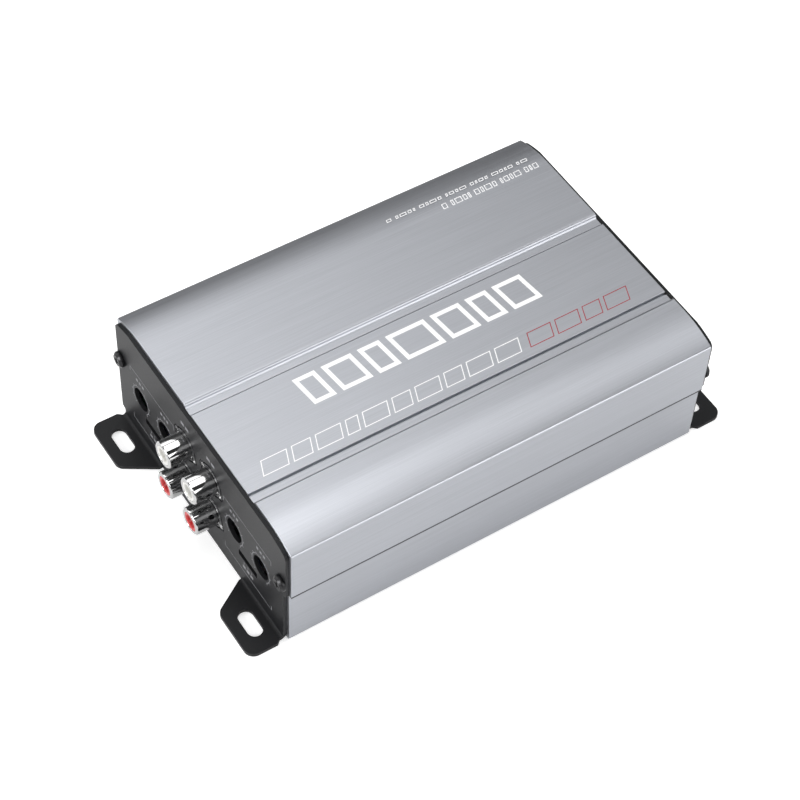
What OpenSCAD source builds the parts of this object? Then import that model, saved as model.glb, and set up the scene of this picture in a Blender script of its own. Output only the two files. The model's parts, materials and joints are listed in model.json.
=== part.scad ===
// Compact four-channel car amplifier. Two aluminium extrusions make the case,
// and two bent steel end plates close it and carry the slotted mounting tabs.
// The controls and signal jacks are at the -X end, power and speakers at the +X end.
// The origin is on the underside, at the middle of the footprint. +Z is up.

/* [Enclosure] */
// Length of the two extrusions
body_l = 135.5; // [113:0.5:165]
// Width of the upper extrusion
body_w = 93.5; // [90:0.5:115]
// Height from the underside to the top of the wings
body_h = 43.6; // [42.6:0.1:54]
// Height of the seam between the lower and the upper extrusion
seam_z = 22.3; // [18.5:0.1:23]
// Step inwards from the upper to the lower extrusion, on the front side
seam_step = 1.2; // [0.9:0.1:1.5]
// Side wall of the upper extrusion
side_t = 2.2; // [1.8:0.1:2.8]
// Roof under the centre panel
roof_t = 3.2; // [2.7:0.1:4]
// Side wall of the lower extrusion
base_side_t = 2; // [1.7:0.1:2.5]
// Floor of the lower extrusion
floor_t = 2; // [1.6:0.1:2.5]

/* [Top profile] */
// Width of the flat centre panel
panel_w = 30; // [25:0.5:36]
// Offset of the panel's middle from the centre line, towards -Y
panel_off = 9.9; // [8:0.1:12]
// Drop from the wings to the centre panel
panel_drop = 0.8; // [0.6:0.1:1]
// Distance from a wing's edge to the panel, across the channel
channel_w = 3.3; // [2.7:0.1:4]
// Drop from the wings to the ledge in the channel
ledge_drop = 1.4; // [1.2:0.1:1.7]
// Width of the fine groove beside the panel
groove_w = 0.5; // [0.4:0.1:0.6]
// Depth of the fine groove below the ledge
groove_h = 0.6; // [0.5:0.1:0.8]
// Radius of a wing's inner edge
wing_r = 0.9; // [0.7:0.1:1.1]
// Run of the curved shoulder, from the side to the flat of the wing
crown_run = 13.75; // [11.5:0.25:16.5]
// Drop of the curved shoulder at the side
crown_drop = 2.8; // [2.3:0.1:3.4]
// Radius of the edge between shoulder and side
edge_r = 0.8; // [0.6:0.1:1]

/* [End plates] */
// Thickness of the steel plate
plate_t = 1.2; // [1:0.1:1.5]
// Distance of the plate's outline inside the extrusions' outline
plate_inset = 0.9; // [0.7:0.1:1.2]
// Drop from the wings to the plate's top edge
plate_drop = 1.3; // [1.1:0.1:1.7]
// Radius of the plate's top corners
plate_r = 2.2; // [1.8:0.1:2.7]
// Inside radius of the bend between plate and tab
bend_r = 1; // [0.8:0.1:1.2]
// Reach of a tab beyond the plate's outer face
tab_reach = 11.05; // [9.2:0.05:13.3]
// Width of a tab at its tip
tab_tip_w = 17.3; // [14.4:0.1:20.8]
// Width of a tab where it meets the plate
tab_root_w = 23; // [19.5:0.1:25]
// Distance of a tab's outer edge inside the case's side
tab_in = 1.3; // [1:0.1:1.6]
// Radius of a tab's tip corners
tab_r = 3; // [2.5:0.1:3.6]
// Width of a mounting slot
slot_w = 4.5; // [3.8:0.1:5.2]
// Length of a mounting slot from end to end
slot_l = 9.3; // [7.8:0.1:11.2]
// Distance from the plate's outer face to the slot's middle
slot_out = 5.35; // [4.8:0.05:6]
// Distance from the tab's outer edge to the slot's middle
slot_in = 9.4; // [8:0.1:10.5]

/* [Fasteners] */
// Radius of the machine screws' shanks
screw_r = 1.45; // [1.2:0.05:1.5]
// Radius of the screw heads
head_r = 2.5; // [2.2:0.1:2.7]
// Height of the screw heads
head_h = 1.6; // [1.4:0.1:2]
// Radial clearance round a shank
screw_gap = 0.05; // [0.02:0.01:0.1]
// Distance of the plate screws inside the case's side
screw_in = 3; // [2.9:0.05:3.4]
// Height of the plate screws
screw_z = 26.9; // [26.8:0.1:31]
// Length of the plate screws under the head
plate_screw_l = 8; // [6.7:0.1:9.6]

/* [Circuit board] */
// Thickness of the board
board_t = 1.6; // [1.4:0.1:1.9]
// Height of the board's underside
board_z = 6; // [5:0.1:6]
// Gap between the board and the walls round it
board_gap = 0.6; // [0.4:0.1:0.8]
// Distance of the board screws inside the lower extrusion's side wall
board_screw_in = 6.55; // [6:0.05:9]
// Width of the ribs that carry the board
rib_w = 6; // [5:0.1:7]

/* [Signal jacks] */
// Distance between neighbouring jacks, both ways
jack_pitch = 14; // [13:0.1:14.5]
// Height of the lower row of jacks
jack_z = 14.6; // [14:0.1:15]
// Outside diameter of a jack's shell
jack_d = 8.3; // [7.5:0.05:9.5]
// Wall of a jack's shell
jack_t = 0.4; // [0.3:0.05:0.5]
// Diameter of the opening in a shell's rolled rim
jack_mouth_d = 5.8; // [5.2:0.1:6.4]
// Reach of a jack beyond the plate's outer face
jack_reach = 7.2; // [6:0.1:8.6]
// Diameter of the hole that takes a plug's pin
jack_pin_d = 3.2; // [3:0.05:3.4]
// Width of the flange round a jack's shell
jack_flange_w = 0.8; // [0.6:0.05:0.9]
// Radial gap between a jack's flange and the edge of the plate's hole
jack_hole_gap = 0.55; // [0.4:0.05:0.7]
// Depth of the jack housing behind the plate
jack_depth = 12; // [10:0.1:14]

/* [Level and filter controls] */
// Distance from the centre line to the inner controls
pot_y = 19; // [18.9:0.1:19.5]
// Distance between neighbouring controls
pot_pitch = 14; // [13:0.1:14]
// Height of the controls' axes
pot_z = 19.9; // [19.5:0.1:21]
// Width of a control's body
pot_w = 9.4; // [8.5:0.1:9.5]
// Depth of a control's body
pot_depth = 6.5; // [5.6:0.1:7.8]
// Diameter of a control's shaft
pot_shaft_d = 6; // [5:0.1:6.2]
// Diameter of the plate's hole in front of a control
pot_hole_d = 7.5; // [7:0.1:8.5]
// Distance of a shaft's end behind the plate's outer face
pot_recess = 2.4; // [2:0.1:3]
// Radial running clearance of a shaft
pot_gap = 0.05; // [0.02:0.01:0.08]

/* [Filter switches] */
// Height of the switch levers
lever_z = 12.9; // [12.5:0.1:13.2]
// Length of the plate's slot in front of a lever
lever_slot_l = 9.6; // [8.5:0.1:11.5]
// Height of the plate's slot in front of a lever
lever_slot_h = 2.4; // [2.2:0.1:2.8]
// Width of a lever
lever_w = 2.6; // [2.2:0.1:3]
// Height of a lever
lever_h = 1.8; // [1.5:0.1:2]
// Travel of a lever to each side of its middle position
lever_travel = 2; // [1.7:0.1:2.3]
// Clearance all round a lever's slide
lever_gap = 0.1; // [0.08:0.01:0.15]
// Width of a switch's body
switch_w = 12; // [11.5:0.1:13]
// Depth of a switch's body
switch_depth = 5; // [4.6:0.1:5.5]

/* [Power end] */
// Distance of the fuse from the centre line
fuse_y = 25.8; // [24:0.1:28]
// Height of the fuse's middle
fuse_z = 24; // [22:0.1:26]
// Width of the fuse's body, which stands upright
fuse_w = 19.1; // [18:0.1:19.5]
// Thickness of the fuse's body
fuse_t = 5.1; // [4.6:0.1:5.6]
// Reach of the fuse beyond the plate's outer face
fuse_reach = 5.3; // [4.4:0.1:6.3]
// Middle of the harness socket, from the centre line towards -Y
socket_y = 12; // [10:0.5:14]
// Width inside the harness socket
socket_w = 34; // [30:0.5:38]
// Height inside the harness socket
socket_h = 11; // [10:0.1:12]
// Wall of the harness socket
socket_t = 1.4; // [1.2:0.1:1.7]
// Reach of the harness socket beyond the plate's outer face
socket_reach = 1.5; // [1:0.1:3]
// Pins in each of the two rows of the harness socket
socket_cols = 6; // [4:1:7]
// Distance between neighbouring pins
socket_pitch = 5; // [4.2:0.1:5.4]
// Distance of the power lamp inside the case's front side
lamp_in = 9.75; // [8.5:0.25:12]
// Height of the power lamp
lamp_z = 31; // [29:0.5:33]
// Radius of the power lamp
lamp_r = 1.5; // [1.4:0.1:1.8]

/* [Heat path] */
// Gap between the heat spreader and the front wall of the upper extrusion
spread_in = 8.55; // [7.5:0.05:12]
// Thickness of the heat spreader
spread_t = 3; // [2.5:0.1:3.6]
// Length of the heat spreader
spread_l = 82; // [76:1:86]
// Width of the heat spreader's flange under the roof
flange_w = 18; // [16:0.5:20]
// Thickness of the thermal strip
strip_t = 0.4; // [0.3:0.1:0.6]
// Thickness of the power devices
chip_t = 4.5; // [4:0.1:5]
// Thickness of the clamp bar
clamp_t = 1.6; // [1.3:0.1:2]
// Height of the clamp bar
clamp_h = 7; // [5.5:0.1:8]
// Height of the power devices' bodies
chip_h = 15; // [12.5:0.1:16]

/* [Magnetics and capacitors] */
// Outside radius of the transformer's core
transformer_r = 14; // [12:0.1:14.5]
// Radius of the hole in the transformer's core
transformer_in_r = 8; // [6.6:0.1:9.6]
// Height of the transformer's core
transformer_h = 12; // [10:0.1:14.4]
// Thickness of the transformer's winding
transformer_wire_t = 2; // [1.6:0.1:2.2]
// Outside radius of the choke's core
choke_r = 8; // [6.6:0.1:9]
// Radius of the hole in the choke's core
choke_in_r = 4.6; // [3.8:0.1:5.5]
// Height of the choke's core
choke_h = 7; // [5.8:0.1:8.4]
// Thickness of the choke's winding
choke_wire_t = 1.5; // [1.2:0.1:1.7]
// Width and height of an output coil
coil_w = 9; // [7.5:0.1:9.6]
// Radius of a reservoir capacitor
can_r = 6.3; // [5.2:0.1:7]
// Height of a reservoir capacitor
can_h = 25; // [20.8:0.1:28]

/* [Hidden] */

$fn = 48;
eps = 0.01;

silver = [0.74, 0.74, 0.77];
plate_black = [0.16, 0.16, 0.17];
plastic_black = [0.08, 0.08, 0.09];
chrome = [0.85, 0.86, 0.88];
steel = [0.62, 0.63, 0.65];
copper = [0.72, 0.42, 0.22];
ferrite = [0.25, 0.25, 0.27];
board_green = [0.10, 0.34, 0.20];
insulator_white = [0.93, 0.93, 0.92];
insulator_red = [0.76, 0.08, 0.08];

hl = body_l / 2;
hw = body_w / 2;
plate_x = hl + plate_t;
inner_y = hw - side_t;
panel_z = body_h - panel_drop;
roof_z = panel_z - roof_t;
ledge_z = body_h - ledge_drop;
groove_z = ledge_z - groove_h;
base_front_y = hw - seam_step;
base_inner_y = base_front_y - base_side_t;
board_top = board_z + board_t;
board_hl = hl - 2;
board_hw = base_inner_y - board_gap;
screw_y = hw - screw_in;
board_screw_y = base_inner_y - board_screw_in;
lamp_y = hw - lamp_in;
spread_y = inner_y - spread_in;
boss_r = 2.3;
bore_r = screw_r + screw_gap;

// Tongue of the lower extrusion, and the bead that hooks it into the upper one
tongue_t = 1.3;
tongue_gap = 0.1;
tongue_h = 2.2;
bead_out = 0.5;
bead_low = 0.6;
bead_h = 1;
tongue_root = 2;

// Height where the bend starts, and the sideways limits of bend and tab
bend_z = bend_r + plate_t;
plate_low = 0.3;
tab_edge_y = hw - tab_in;
bend_edge_y = tab_edge_y - 1.1;
tab_root_in = tab_edge_y - tab_root_w;

mid_y = [pot_y, pot_y + pot_pitch];
lever_y = pot_y + pot_pitch / 2;
jack_ys = [jack_pitch / 2, -jack_pitch / 2];
jack_zs = [jack_z + jack_pitch, jack_z];
jack_tip = plate_x + jack_reach;

// A quarter or other part of a circle as points, from angle a to angle b
function arc(c, r, a, b, n) =
    [for (i = [0:n]) c + r * [cos(a + (b - a) * i / n), sin(a + (b - a) * i / n)]];

// The same points on the other side of the centre line, in reverse order
function mirrored(pts) = [for (i = [len(pts) - 1:-1:0]) [-pts[i][0], pts[i][1]]];

// The curved shoulder on the +Y side, moved inwards by inset, from the side to the crest
function shoulder(inset, r) =
    let (big = (crown_run * crown_run + crown_drop * crown_drop) / (2 * crown_drop),
         cy = hw - crown_run,
         cz = body_h - big,
         fy = hw - inset - r,
         fz = cz + sqrt(pow(big - inset - r, 2) - pow(fy - cy, 2)),
         turn = atan2(fz - cz, fy - cy))
    concat(arc([fy, fz], r, 0, turn, 5), arc([cy, cz], big - inset, turn, 90, 14));

// The step from a wing down to the panel, for a wing edge on the +Y side of the panel
function wing_step(edge, panel_edge) =
    concat(arc([edge + wing_r, body_h - wing_r], wing_r, 90, 180, 6),
           [[edge - 0.4, ledge_z],
            [panel_edge + groove_w, ledge_z],
            [panel_edge + groove_w, groove_z],
            [panel_edge, groove_z],
            [panel_edge, panel_z]]);

// Lays a YZ profile out along X, from x = from to x = from + length
module along_x(from, length) {
    translate([from, 0, 0])
        rotate([90, 0, 90])
            linear_extrude(length)
                children();
}

// A cylinder along X, from x = from to x = from + length
module rod_x(from, length, r) {
    translate([from, 0, 0])
        rotate([0, 90, 0])
            cylinder(h = length, r = r);
}

// A box given by its low corner and its high corner
module block(low, high) {
    translate(low)
        cube(high - low);
}

// A rectangle with round corners, centred
module round_rect(w, h, r) {
    square([w - 2 * r, h], center = true);
    square([w, h - 2 * r], center = true);
    for (sx = [-1, 1], sy = [-1, 1])
        translate([sx * (w / 2 - r), sy * (h / 2 - r)])
            circle(r);
}

// A slot with round ends, along the first axis
module slot_2d(length, width) {
    square([length - width, width], center = true);
    for (s = [-1, 1])
        translate([s * (length - width) / 2, 0])
            circle(width / 2);
}

// A pan-head screw with a cross recess; the head's underside is at z = 0, the shank below it
module pan_screw(length) {
    rim_h = head_h * 0.55;
    top_r = head_r * 0.72;
    recess_w = 0.6;
    recess_z = head_h * 0.45;
    difference() {
        union() {
            translate([0, 0, -length])
                cylinder(h = length + eps, r = screw_r);
            cylinder(h = rim_h, r = head_r);
            translate([0, 0, rim_h])
                cylinder(h = head_h - rim_h, r1 = head_r, r2 = top_r);
        }
        for (a = [0, 90])
            rotate([0, 0, a])
                translate([-head_r / 2, -recess_w / 2, recess_z])
                    cube([head_r, recess_w, head_h]);
    }
}

// ---- Case ----

module upper_profile() {
    back_panel = panel_w / 2 - panel_off;
    front_panel = panel_w / 2 + panel_off;
    back = concat([[hw, seam_z]], shoulder(0, edge_r),
                  wing_step(back_panel + channel_w, back_panel));
    front = concat([[hw, seam_z]], shoulder(0, edge_r),
                   wing_step(front_panel + channel_w, front_panel));
    polygon(concat(back, mirrored(front)));
}

module top_heatsink() {
    groove_low = seam_z + bead_low - tongue_gap;
    color(silver)
    difference() {
        union() {
            difference() {
                along_x(-hl, body_l)
                    upper_profile();
                block([-hl - 1, -inner_y, seam_z - 1], [hl + 1, inner_y, roof_z]);
                for (s = [-1, 1])
                    translate([-hl - 1, s * inner_y - (bead_out + 0.1), groove_low])
                        cube([body_l + 2, 2 * (bead_out + 0.1), bead_h + 2 * tongue_gap]);
            }
            for (s = [-1, 1])
                intersection() {
                    translate([0, s * screw_y, screw_z])
                        rod_x(-hl, body_l, boss_r);
                    block([-hl, -inner_y - eps, seam_z + tongue_h + 0.1], [hl, inner_y + eps, roof_z]);
                }
        }
        for (s = [-1, 1])
            translate([0, s * screw_y, screw_z])
                rod_x(-hl - 1, body_l + 2, bore_r);
        for (x = spreader_screw_xs)
            translate([x, spreader_screw_y, roof_z - 1])
                cylinder(h = 1 + spreader_bite, r = bore_r);
    }
}

module base_tray() {
    bottom_r = 1;
    color(silver)
    difference() {
        union() {
            difference() {
                along_x(-hl, body_l)
                    polygon(concat(arc([hw - bottom_r, bottom_r], bottom_r, -90, 0, 5),
                                   [[hw, seam_z], [-base_front_y, seam_z]],
                                   arc([-base_front_y + bottom_r, bottom_r], bottom_r, 180, 270, 5)));
                block([-hl - 1, -base_inner_y, floor_t], [hl + 1, base_inner_y, seam_z + 1]);
            }
            for (s = [-1, 1])
                on_side(s) {
                    tongue_y = inner_y - tongue_gap;
                    block([-hl, tongue_y - tongue_t, seam_z - tongue_root],
                          [hl, tongue_y, seam_z + tongue_h]);
                    block([-hl, tongue_y - eps, seam_z + bead_low],
                          [hl, tongue_y + bead_out, seam_z + bead_low + bead_h]);
                    block([-hl, board_screw_y - rib_w / 2, floor_t - eps],
                          [hl, board_screw_y + rib_w / 2, board_z]);
                }
        }
        for (x = board_screw_xs, s = [-1, 1])
            translate([x, s * board_screw_y, floor_t - 0.8])
                cylinder(h = board_z, r = bore_r);
    }
}

// Draws its children on the +Y side, or mirrored on the -Y side when s is -1
module on_side(s) {
    mirror([0, s < 0 ? 1 : 0, 0])
        children();
}

// ---- End plates ----

module plate_outline() {
    back_y = hw - plate_inset;
    front_y = base_front_y - plate_inset;
    top = body_h - plate_drop;
    rim = [for (p = shoulder(plate_inset, plate_r)) if (p[1] < top) p];
    edge = concat(rim, [[rim[len(rim) - 1][0] - 0.3, top]]);
    foot = [[tab_root_in, plate_low], [tab_root_in, bend_z], [bend_edge_y, bend_z],
            [bend_edge_y, bend_z + 1]];
    back = concat(foot, [[back_y, bend_z + 1.8]], edge);
    front = concat(foot, [[front_y, bend_z + 1.8], [front_y, seam_z - 0.8], [back_y, seam_z]], edge);
    polygon(concat(back, mirrored(front)));
}

// The flat of a tab on the +Y side of the -X end, seen from above
module tab_outline() {
    tip = plate_x + tab_reach;
    root = plate_x + bend_r;
    inner_tip = tab_edge_y - tab_tip_w;
    lean = atan2(tab_root_w - tab_tip_w, tab_reach);
    difference() {
        polygon(concat([[-root, bend_edge_y], [-root - 1.2, tab_edge_y]],
                       arc([-tip + tab_r, tab_edge_y - tab_r], tab_r, 90, 180, 8),
                       arc([-tip + tab_r, inner_tip + tab_r * (1 - tan(lean) * 0.5)],
                           tab_r, 180, 270 - lean, 8),
                       [[-root, tab_root_in]]));
        translate([-plate_x - slot_out, tab_edge_y - slot_in])
            rotate([0, 0, 90])
                slot_2d(slot_l, slot_w);
    }
}

// The bent end plate as it sits at the -X end, with its tabs and its two screw holes
module bent_plate() {
    along_x(-plate_x, plate_t)
        difference() {
            plate_outline();
            for (s = [-1, 1])
                translate([s * screw_y, screw_z])
                    circle(bore_r);
        }
    for (s = [-1, 1])
        on_side(s) {
            linear_extrude(plate_t)
                tab_outline();
            bend_strip();
        }
}

// The quarter-round bend between plate and tab, on the +Y side
module bend_strip() {
    intersection() {
        translate([-plate_x - bend_r, bend_edge_y, bend_z])
            rotate([90, 0, 0])
                difference() {
                    cylinder(h = bend_edge_y - tab_root_in, r = bend_r + plate_t);
                    translate([0, 0, -1])
                        cylinder(h = tab_root_w + 2, r = bend_r);
                }
        block([-plate_x - bend_r - eps, 0, -1], [0, hw, bend_z + eps]);
    }
}

module control_end_plate() {
    color(plate_black)
    difference() {
        bent_plate();
        for (y = jack_ys, z = jack_zs)
            translate([0, y, z]) {
                rod_x(-plate_x - 1, plate_t + 2, flange_r + jack_hole_gap);
                for (s = [-1, 1])
                    translate([0, s * peg_at[0], s * peg_at[1]])
                        rod_x(-plate_x - 1, plate_t + 2, ear_r + ear_gap);
            }
        for (s = [-1, 1], y = mid_y)
            translate([0, s * y, pot_z])
                rod_x(-plate_x - 1, plate_t + 2, pot_hole_d / 2);
        for (s = [-1, 1])
            translate([0, s * lever_y, lever_z])
                along_x(-plate_x - 1, plate_t + 2)
                    round_rect(lever_slot_l, lever_slot_h, 0.4);
    }
}

module power_end_plate() {
    color(plate_black)
    difference() {
        mirror([1, 0, 0])
            bent_plate();
        translate([0, fuse_y, fuse_z])
            along_x(hl - 1, plate_t + 2)
                round_rect(holder_t + 2 * cutout_gap, holder_w + 2 * cutout_gap, holder_r);
        translate([0, -socket_y, socket_mid_z])
            along_x(hl - 1, plate_t + 2)
                round_rect(socket_out_w + 2 * cutout_gap, socket_out_h + 2 * cutout_gap,
                           socket_r + cutout_gap);
        translate([0, -lamp_y, lamp_z])
            rod_x(hl - 1, plate_t + 2, lamp_r + cutout_gap);
    }
}

module control_plate_screws() {
    color(plate_black)
    for (s = [-1, 1])
        translate([-plate_x, s * screw_y, screw_z])
            rotate([0, -90, 0])
                pan_screw(plate_screw_l);
}

module power_plate_screws() {
    color(plate_black)
    for (s = [-1, 1])
        translate([plate_x, s * screw_y, screw_z])
            rotate([0, 90, 0])
                pan_screw(plate_screw_l);
}

// ---- Circuit board ----

board_screw_xs = [-hl + 22, hl - 12];

module circuit_board() {
    color(board_green)
    difference() {
        block([-board_hl, -board_hw, board_z], [board_hl, board_hw, board_top]);
        for (x = board_screw_xs, s = [-1, 1])
            translate([x, s * board_screw_y, board_z - 1])
                cylinder(h = board_t + 2, r = bore_r);
    }
}

module board_screws() {
    color(steel)
    for (x = board_screw_xs, s = [-1, 1])
        translate([x, s * board_screw_y, board_top])
            pan_screw(board_t + board_z - floor_t);
}

// ---- Signal jacks ----

// Gap between the end plate and the housing behind it
jack_set = 2.2;
jack_back = -hl + jack_set;
// The two riveted ears of each shell's flange
peg_r = 0.7;
peg_out = 0.1;
peg_turn = 23;
peg_at = (jack_d / 2 + peg_r + 0.035) * [cos(peg_turn), sin(peg_turn)];
ear_r = 1.3;
ear_gap = 0.3;
flange_r = jack_d / 2 + jack_flange_w;
flange_t = plate_t + jack_set;
// Length of a shell in front of the housing, and the thickness of its rolled rim
shell_l = flange_t + jack_reach;
rim_t = 0.6;
rim_cut = 0.5;
// Wall and floor of a centre contact, and its end's depth behind the shell's rim
contact_t = 0.3;
contact_floor = 0.2;
contact_in = 1.6;
contact_split = 0.5;
contact_split_z = 4;
// Half width, top and wall of the housing
housing_y = jack_pitch - 0.5;
housing_top = jack_z + jack_pitch + housing_y / 2;
housing_wall = 2;

module jack_housing() {
    color(plastic_black)
    difference() {
        block([jack_back, -housing_y, board_top], [-hl + jack_depth, housing_y, housing_top]);
        block([-hl + jack_depth - housing_wall, -housing_y + housing_wall, board_top + housing_wall],
              [-hl + jack_depth + 1, housing_y - housing_wall, housing_top - housing_wall]);
    }
}

// Places its children on the front of the housing, with +Z pointing out of the jack
module on_housing(y, z) {
    translate([jack_back, y, z])
        rotate([0, -90, 0])
            children();
}

module jack_shell(y, z) {
    mouth_r = jack_mouth_d / 2;
    r = jack_d / 2;
    color(chrome)
    on_housing(y, z) {
        rotate_extrude()
            polygon([[r - jack_t, 0], [flange_r, 0], [flange_r, flange_t], [r, flange_t],
                     [r, shell_l - rim_cut], [r - rim_cut, shell_l], [mouth_r, shell_l],
                     [mouth_r, shell_l - rim_t], [r - jack_t, shell_l - rim_t]]);
        for (s = [-1, 1])
            difference() {
                translate([s * peg_at[1], s * peg_at[0], 0]) {
                    cylinder(h = flange_t, r = ear_r);
                    cylinder(h = flange_t + peg_out, r = peg_r);
                }
                translate([0, 0, -1])
                    cylinder(h = flange_t + 1 + peg_out + 1, r = r - jack_t / 2);
            }
    }
}

module jack_insulator(y, z, tint) {
    r = jack_d / 2 - jack_t;
    core_r = jack_pin_d / 2 + contact_t;
    mouth_r = core_r + 0.1;
    lip = 0.1;
    cone = 0.3;
    color(tint)
    on_housing(y, z)
        rotate_extrude()
            polygon([[core_r, 0], [r, 0], [r, shell_l - rim_t], [jack_mouth_d / 2, shell_l - rim_t],
                     [jack_mouth_d / 2, shell_l - lip], [mouth_r + cone, shell_l - lip],
                     [mouth_r, shell_l - lip - cone], [mouth_r, shell_l - contact_in],
                     [core_r, shell_l - contact_in]]);
}

module jack_contact(y, z) {
    r = jack_pin_d / 2;
    length = shell_l - contact_in;
    color(steel)
    on_housing(y, z)
        difference() {
            cylinder(h = length, r = r + contact_t);
            translate([0, 0, contact_floor])
                cylinder(h = length, r = r);
            translate([0, -contact_split / 2, contact_split_z])
                cube([r + 1, contact_split, length]);
        }
}

// ---- Level and filter controls ----

pot_front = -hl + switch_depth + 1.1;
pot_back = pot_front + pot_depth;
bush_r = pot_shaft_d / 2 + 0.55;
bush_l = 2.4;
wiper_r = bush_r + 0.25;
wiper_t = 1.2;
wiper_in = 2;
pot_skin = 1.2;
pot_head = 0.6;
shaft_slot_w = 1;
shaft_slot_h = 1.3;

module pot_body(y) {
    top = pot_z + pot_w / 2 + pot_head;
    foot = pot_z - bush_r - 0.1;
    color([0.16, 0.22, 0.38])
    translate([0, y, 0])
    difference() {
        union() {
            block([pot_front, -pot_w / 2, board_top], [pot_back, pot_w / 2, top]);
            translate([0, 0, pot_z])
                rod_x(pot_front - bush_l, bush_l + eps, bush_r);
        }
        block([pot_front - 1, -pot_w / 2 + pot_skin, board_top - 1],
              [pot_back - pot_skin, pot_w / 2 - pot_skin, foot - pot_skin]);
        translate([0, 0, pot_z]) {
            rod_x(pot_front - bush_l - 1, pot_depth, pot_shaft_d / 2 + pot_gap);
            rod_x(pot_front + wiper_in, wiper_t + 2 * pot_gap, wiper_r + pot_gap);
        }
    }
}

module pot_rotor(y) {
    front = -plate_x + pot_recess;
    color(plastic_black)
    translate([0, y, pot_z])
    difference() {
        union() {
            rod_x(front, pot_front + wiper_in + wiper_t - front, pot_shaft_d / 2);
            rod_x(pot_front + wiper_in + pot_gap, wiper_t, wiper_r);
        }
        block([front - 1, -shaft_slot_w / 2, -pot_shaft_d],
              [front + shaft_slot_h, shaft_slot_w / 2, pot_shaft_d]);
    }
}

// ---- Filter switches ----

switch_front = -hl + 0.5;
carrier_t = 1.6;
carrier_w = 5;
carrier_h = 3.4;
carrier_in = 1;
lever_recess = 0.15;

module switch_body(y) {
    top = pot_z - bush_r - 0.4;
    color(steel)
    translate([0, y, 0])
    difference() {
        block([switch_front, -switch_w / 2, board_top], [switch_front + switch_depth, switch_w / 2, top]);
        block([switch_front - 1, -lever_travel - lever_w / 2 - lever_gap, lever_z - lever_h / 2 - lever_gap],
              [switch_front + 2, lever_travel + lever_w / 2 + lever_gap, lever_z + lever_h / 2 + lever_gap]);
        block([switch_front + carrier_in, -lever_travel - carrier_w / 2 - lever_gap,
               lever_z - carrier_h / 2 - lever_gap],
              [switch_front + carrier_in + carrier_t + 2 * lever_gap,
               lever_travel + carrier_w / 2 + lever_gap, lever_z + carrier_h / 2 + lever_gap]);
    }
}

module switch_lever(y) {
    color(plastic_black)
    translate([0, y, lever_z]) {
        block([-hl + lever_recess, -lever_w / 2, -lever_h / 2],
              [switch_front + carrier_in + 2 * lever_gap, lever_w / 2, lever_h / 2]);
        block([switch_front + carrier_in + lever_gap, -carrier_w / 2, -carrier_h / 2],
              [switch_front + carrier_in + lever_gap + carrier_t, carrier_w / 2, carrier_h / 2]);
    }
}

// ---- Power end ----

holder_wall = 1.3;
holder_t = fuse_t + 2 * holder_wall;
holder_w = fuse_w + 2 * holder_wall;
holder_out = 0.8;
holder_r = 1;
holder_back = hl - 16;
cutout_gap = 0.1;
fuse_gap = 0.05;
blade_gap = 0.02;
fuse_front = plate_x + fuse_reach;
fuse_body_l = 12.5;
fuse_head_l = 3;
fuse_leg_w = 5.8;
blade_in = 6;
blade_w = 5.2;
blade_t = 0.7;
blade_pitch = 12;
blade_l = 6;
fuse_back = fuse_front - fuse_body_l;
socket_mid_z = board_top + socket_t + socket_h / 2 + 0.5;
socket_back = hl - 14;
socket_front = plate_x + socket_reach;
socket_out_w = socket_w + 2 * socket_t;
socket_out_h = socket_h + 2 * socket_t;
socket_r = 0.7;
socket_floor = 3;
lamp_back = hl - 3;
latch_w = 4;
latch_l = 4;
pin_t = 1.1;
pin_row = 2.5;
pin_recess = 4.5;
pin_tail = 2.5;

module fuse_holder() {
    color(plastic_black)
    translate([0, fuse_y, 0])
    difference() {
        union() {
            block([holder_back, -holder_t / 2, board_top],
                  [plate_x - plate_t, holder_t / 2, fuse_z + holder_w / 2]);
            translate([0, 0, fuse_z])
                along_x(hl - 1, 1 + plate_t + holder_out)
                    round_rect(holder_t, holder_w, holder_r);
        }
        block([fuse_back, -fuse_t / 2 - fuse_gap, fuse_z - fuse_w / 2 - fuse_gap],
              [plate_x + holder_out + 1, fuse_t / 2 + fuse_gap, fuse_z + fuse_w / 2 + fuse_gap]);
        for (s = [-1, 1])
            translate([0, 0, fuse_z + s * blade_pitch / 2])
                block([fuse_back - blade_l - 0.2, -blade_t / 2 - blade_gap, -blade_w / 2 - blade_gap],
                      [fuse_back + 1, blade_t / 2 + blade_gap, blade_w / 2 + blade_gap]);
    }
}

module fuse_case() {
    color([0.12, 0.12, 0.13])
    translate([0, fuse_y, fuse_z])
    difference() {
        union() {
            along_x(fuse_back, fuse_body_l - fuse_head_l / 2)
                round_rect(fuse_t - 0.8, fuse_w - 2.4, 0.6);
            along_x(fuse_front - fuse_head_l, fuse_head_l)
                round_rect(fuse_t, fuse_w, 0.8);
            for (s = [-1, 1])
                translate([0, 0, s * (fuse_w - fuse_leg_w) / 2])
                    along_x(fuse_back, fuse_body_l - fuse_head_l / 2)
                        round_rect(fuse_t, fuse_leg_w, 0.6);
        }
        for (s = [-1, 1])
            block([fuse_back - 1, -blade_t / 2, s * blade_pitch / 2 - blade_w / 2],
                  [fuse_back + blade_in + 1, blade_t / 2, s * blade_pitch / 2 + blade_w / 2]);
        block([fuse_back - 1, -blade_t / 2, -blade_pitch / 2],
              [fuse_back + blade_in + 1, blade_t / 2, blade_pitch / 2]);
    }
}

module fuse_link() {
    color(steel)
    translate([0, fuse_y, fuse_z]) {
        for (s = [-1, 1])
            block([fuse_back - blade_l, -blade_t / 2, s * blade_pitch / 2 - blade_w / 2],
                  [fuse_back + blade_in, blade_t / 2, s * blade_pitch / 2 + blade_w / 2]);
        block([fuse_back + blade_in - 1, -blade_t / 2, -blade_pitch / 2],
              [fuse_back + blade_in + 1, blade_t / 2, blade_pitch / 2]);
    }
}

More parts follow.
